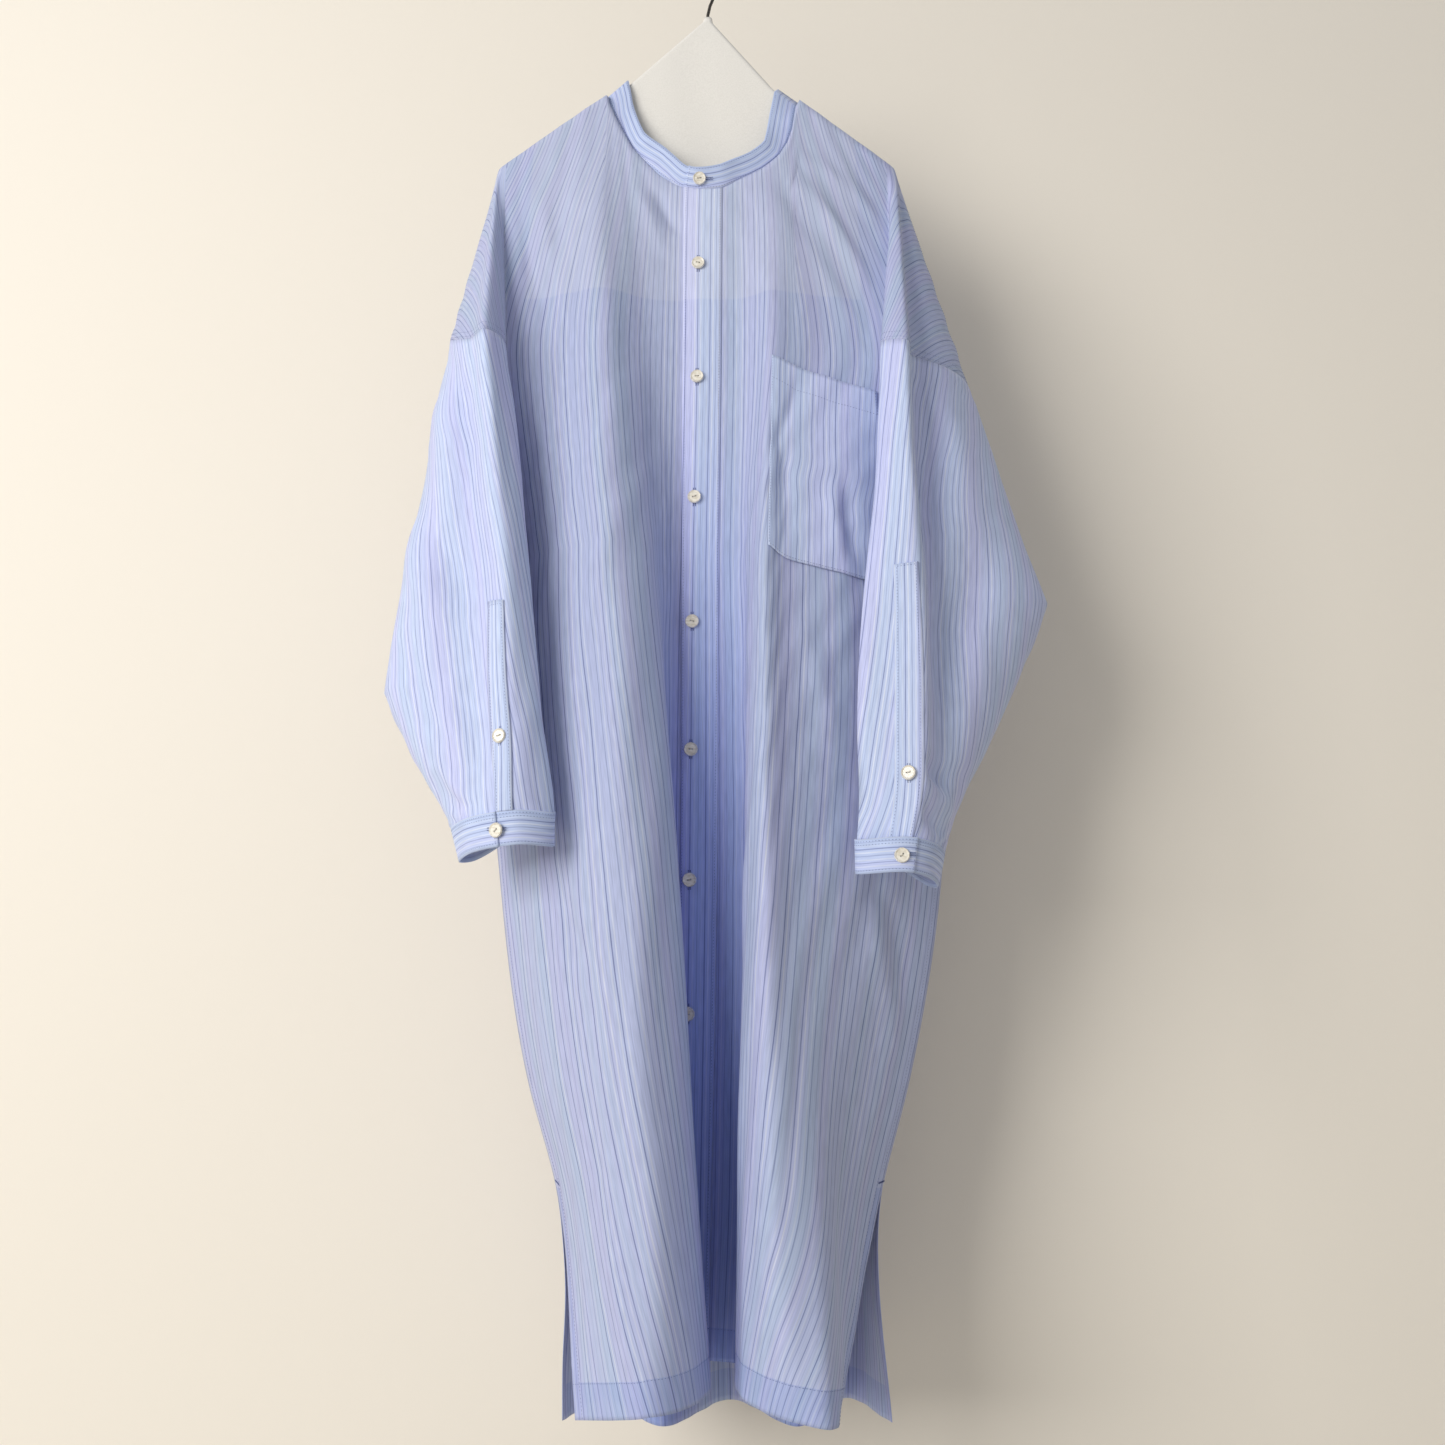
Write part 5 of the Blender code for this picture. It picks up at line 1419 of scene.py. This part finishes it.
# %% Shared group: mottled colour
mottle, taken, given = new_group(
    "mottled_finish",
    (("Vector", "NodeSocketVector", None), ("Light", "NodeSocketColor", (1.0, 1.0, 1.0, 1.0)),
     ("Dark", "NodeSocketColor", (0.5, 0.5, 0.5, 1.0)), ("Scale", "NodeSocketFloat", 300.0),
     ("Smooth", "NodeSocketFloat", 0.3), ("Rough", "NodeSocketFloat", 0.5)),
    (("Color", "NodeSocketColor"), ("Roughness", "NodeSocketFloat"), ("Height", "NodeSocketFloat")))
cloud = add_node(mottle, "ShaderNodeTexNoise", {
    "Vector": taken.outputs["Vector"], "Scale": taken.outputs["Scale"], "Detail": 4.0})
spread = ranged(mottle, cloud.outputs[0], 0.35, 0.65)
blend = mixed(mottle, spread, taken.outputs["Dark"], taken.outputs["Light"])
mottle.links.new(blend, given.inputs["Color"])
sheen = ranged(mottle, cloud.outputs[0], 0.0, 1.0, taken.outputs["Smooth"], taken.outputs["Rough"])
mottle.links.new(sheen, given.inputs["Roughness"])
mottle.links.new(cloud.outputs[0], given.inputs["Height"])


# %% Finishes from the mottled group
def mottled(name, light, dark, scale, smooth, rough, stretch=(1, 1, 1), depth=0.0, metallic=0.0, coat=0.0):
    """A finish whose colour and shine drift over the surface."""
    made, tree, shader = new_material(name)
    spots = add_node(tree, "ShaderNodeTexCoord")
    sized = add_node(tree, "ShaderNodeMapping", {"Vector": spots.outputs["Object"], "Scale": stretch})
    finish = add_node(tree, "ShaderNodeGroup", {
        "Vector": sized.outputs[0], "Light": light, "Dark": dark, "Scale": scale, "Smooth": smooth,
        "Rough": rough}, node_tree=mottle)
    set_inputs(tree, shader, {"Base Color": finish.outputs["Color"], "Roughness": finish.outputs["Roughness"],
                              "Metallic": metallic, "Coat Weight": coat})
    if depth:
        bump = add_node(tree, "ShaderNodeBump", {"Height": finish.outputs["Height"], "Distance": depth,
                                                 "Strength": 0.4})
        tree.links.new(bump.outputs[0], shader.inputs["Normal"])
    return made


navy_thread = mottled("navy_thread", (0.13, 0.16, 0.36, 1.0), (0.07, 0.09, 0.24, 1.0), 900.0, 0.55, 0.8)
cream_thread = mottled("cream_thread", (0.62, 0.58, 0.50, 1.0), (0.45, 0.42, 0.36, 1.0), 900.0, 0.6, 0.8)
shell_cream = mottled("shell_cream", (0.90, 0.86, 0.76, 1.0), (0.70, 0.64, 0.52, 1.0), 260.0, 0.16, 0.34,
                      stretch=(1, 1, 2.2), coat=0.5)
dark_steel = mottled("dark_steel", (0.13, 0.12, 0.11, 1.0), (0.05, 0.045, 0.04, 1.0), 700.0, 0.28, 0.5,
                     depth=0.00005, metallic=0.9)
plain_wood = mottled("plain_wood", (0.66, 0.50, 0.33, 1.0), (0.44, 0.31, 0.18, 1.0), 120.0, 0.4, 0.6,
                     stretch=(0.25, 3, 3), depth=0.0001)
cover_cloth = mottled("off_white_cotton", (0.84, 0.81, 0.75, 1.0), (0.78, 0.75, 0.69, 1.0), 900.0, 0.8, 0.95,
                      depth=0.00012)

stitching = plain_mesh("topstitching", np.concatenate(stitch_points),
                       np.concatenate(stitch_faces), navy_thread)
print("all stitches:", len(stitching.data.vertices) // 6)

# %% [markdown]
# Buttons
#
# The solids already have the real buttons' rim and two holes. They keep their shape and get the look
# of polished shell, and a few turns of thread cross from hole to hole.

# %% Thread over the buttons
THREAD_TURNS = (-0.28, 0.0, 0.28)
THREAD_RADIUS = 0.15
HOLE_APART = 1.25
thread_points, thread_faces = [], []
for name, (out, turn) in button_spots.items():
    low, high = (np.array(corner) * 1000 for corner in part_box(name))
    middle = (low + high) / 2
    side_way = np.cross((0, 0, 1.0), out)
    side_way /= np.linalg.norm(side_way)
    up = np.cross(out, side_way)
    across = side_way * math.cos(turn) + up * math.sin(turn)
    upright = up * math.cos(turn) - side_way * math.sin(turn)
    for offset in THREAD_TURNS:
        base = middle + upright * offset + out * 0.5
        ring = []
        for share in np.linspace(-1, 1, 7):
            centre = base + across * share * (HOLE_APART + 0.2) + out * (0.42 - 0.75 * share**4)
            ring.append([centre + (upright * math.cos(a) + out * math.sin(a)) * THREAD_RADIUS
                         for a in np.arange(6) * math.pi / 3])
        start = len(thread_points)
        thread_points += [p for loop in ring for p in loop]
        for k in range(6):
            for a in range(6):
                b = (a + 1) % 6
                i = start + k * 6
                thread_faces.append((i + a, i + 6 + a, i + 6 + b, i + b))
button_thread = plain_mesh("button_thread", thread_points, thread_faces, cream_thread)
print("buttons with thread:", len(button_spots))

# %% Finish of the buttons, the hook and the bar
FINISHES = {"hanger_hook": dark_steel, "hanger_bar": plain_wood}
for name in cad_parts:
    item = bpy.data.objects.get(name)
    finish = shell_cream if name in button_spots else FINISHES.get(name)
    if item and finish:
        item.data.materials.clear()
        item.data.materials.append(finish)
print("pieces kept from the model:", len(button_spots) + len(FINISHES))

# %% [markdown]
# Cover of the hanger
#
# A plain off-white cotton cover slips over the bar and hides it. It is pointed under the hook, open at
# its lower edge, and hangs from the shoulders as a flat bag. Its edges show faintly through the dress,
# mostly as a paler tint painted into the cotton.

# %% Hanger cover
STEM_X = 7.0
COVER_BOTTOM = -380.0
# Height and half depth, then height and x of both edges
COVER_LEVELS = ((-66, 2.8), (-74, 4.0), (-84, 4.8), (-140, 5.0), (-159, 4.8), (-200, 4.2), (-240, 3.8),
                (-300, 4.4), (COVER_BOTTOM, 4.6))
COVER_RIGHT = ((-380, -151), (-236, -181), (-159.4, -85.9), (-140.2, -66.5), (-66.8, STEM_X))
COVER_LEFT = ((-380, 139), (-234, 175), (-163.4, 90.9), (-147.2, 70.5), (-66.8, STEM_X))
COVER_STEPS = 40
cover_z = np.concatenate([np.linspace(-66.5, -90, 10), np.linspace(-96, -240, 37),
                          np.linspace(-246, COVER_BOTTOM, 34)])
half = np.interp(-cover_z, [-z for z, _ in COVER_LEVELS], [h for _, h in COVER_LEVELS])
right_edge = np.interp(cover_z, *zip(*COVER_RIGHT))
left_edge = np.interp(cover_z, *zip(*COVER_LEFT))
rows = []
for z, depth, first, last in zip(cover_z, half, right_edge, left_edge):
    least = depth + 0.8
    first, last = min(first, STEM_X - least) + depth, max(last, STEM_X + least) - depth
    row = []
    for begin, end, base in ((last, first, 90.0), (first, last, -90.0)):
        for step in range(7):
            angle = math.radians(base - 30.0 * step)
            row.append((begin + depth * math.cos(angle), depth * math.sin(angle)))
        angle = math.radians(base - 180.0)
        for share in np.linspace(0, 1, COVER_STEPS + 2)[1:-1]:
            row.append((begin + (end - begin) * share, depth * math.sin(angle)))
    row.append(row[0])
    rows.append([(x, y, z) for x, y in row])
cover_grid = np.array(rows)
cover_run, cover_down = chords(cover_grid), runs_down(cover_grid)
soft = unevenness(cover_grid[..., 0] * 0.8, cover_grid[..., 2], 41, 0.5)
cover_x = cover_grid[..., 0]
to_edge = np.minimum(cover_x - cover_x.min(1)[:, None], cover_x.max(1)[:, None] - cover_x)
fade = np.clip(cover_down / 40, 0, 1) * np.clip(to_edge / 25, 0, 1)
cover_out = surface_normals(cover_grid)
cover_turn = np.sign((cover_out[30, 20] * (cover_grid[30, 20] - (STEM_X, 0, cover_grid[30, 20, 2]))).sum())
cover_grid = cover_grid + cover_out * (cover_turn * soft * fade)[..., None]
cover_grid[:, -1] = cover_grid[:, 0]
pieces["hanger_cover"] = cloth_piece("hanger_cover_cloth", [
    (cover_grid, np.stack([cover_run, cover_down], 2), cover_turn < 0)], cover_cloth, 0.8)

# %% [markdown]
# Ride
#
# Each piece of cloth stands for the solid of the same name and hangs with the whole dress.

# %% Ride and replace
for node, piece in pieces.items():
    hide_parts(node)
    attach(piece, "root")
for piece, slot in ((stitching, "striped_cotton"), (button_thread, "shell_button")):
    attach(piece, "root")
print("pieces of cloth:", len(pieces))

# %% [markdown]
# Light and wall
#
# Soft daylight comes from a window on the left. A large area light gives it, and a pale sky fills the
# shadows. The plain wall behind is seen only from its front side.

# %% Sky, window light, wall and floor
scene = bpy.context.scene
scene.view_settings.view_transform = "Standard"
SKY_COLOUR = (0.93, 0.95, 1.0, 1.0)
SKY_STRENGTH = 0.43
KEY_WATTS = 70.0
KEY_COLOUR = (1.0, 0.985, 0.96)
KEY_SIZE = 1.7
KEY_PLACE = (-1.95, -2.3, -0.2)
KEY_AIM = (0, 0, -0.7)

world = bpy.data.worlds.new("soft_sky")
scene.world = world
world.use_nodes = True
sky = world.node_tree.nodes["Background"]
set_inputs(world.node_tree, sky, {"Color": SKY_COLOUR, "Strength": SKY_STRENGTH})

window = bpy.data.lights.new("window_light", "AREA")
window.shape = "SQUARE"
window.size = KEY_SIZE
window.energy = KEY_WATTS
window.color = KEY_COLOUR
window_light = placed("window_light", window)
window_light.location = KEY_PLACE
ray = np.array(KEY_AIM) - np.array(KEY_PLACE)
window_light.rotation_euler = (math.acos(-ray[2] / np.linalg.norm(ray)), 0,
                               math.atan2(ray[1], ray[0]) - math.pi / 2)
print("window light in watts:", KEY_WATTS)

# %% Wall and floor
WALL_Y = 0.19
WALL_TOP = 1.6
FLOOR_Z = -2.0
REACH = 3
WALL_COLOUR = (0.86, 0.80, 0.70, 1.0)
FLOOR_COLOUR = (0.70, 0.66, 0.58, 1.0)


def flat_plane(name, corners, colour):
    """A plain surface of the room, seen from its front side only."""
    mesh = bpy.data.meshes.new(name)
    mesh.from_pydata(corners, [], [(0, 1, 2, 3)])
    made, tree, shader = new_material(name)
    spots = add_node(tree, "ShaderNodeTexCoord")
    grain = add_node(tree, "ShaderNodeTexNoise", {"Vector": spots.outputs["Object"], "Scale": 260.0,
                                                  "Detail": 3.0})
    bump = add_node(tree, "ShaderNodeBump", {"Height": grain.outputs[0], "Strength": 0.12,
                                             "Distance": 0.0006})
    facing = add_node(tree, "ShaderNodeNewGeometry")
    set_inputs(tree, shader, {
        "Base Color": colour, "Roughness": 0.95, "Normal": bump.outputs[0],
        "Alpha": maths(tree, "SUBTRACT", 1.0, facing.outputs["Backfacing"])})
    mesh.materials.append(made)
    placed(name, mesh)


flat_plane("plain_wall", [(-REACH, WALL_Y, FLOOR_Z), (REACH, WALL_Y, FLOOR_Z), (REACH, WALL_Y, WALL_TOP),
                          (-REACH, WALL_Y, WALL_TOP)], WALL_COLOUR)
flat_plane("plain_floor", [(-REACH, -REACH, FLOOR_Z), (REACH, -REACH, FLOOR_Z), (REACH, REACH, FLOOR_Z),
                           (-REACH, REACH, FLOOR_Z)], FLOOR_COLOUR)
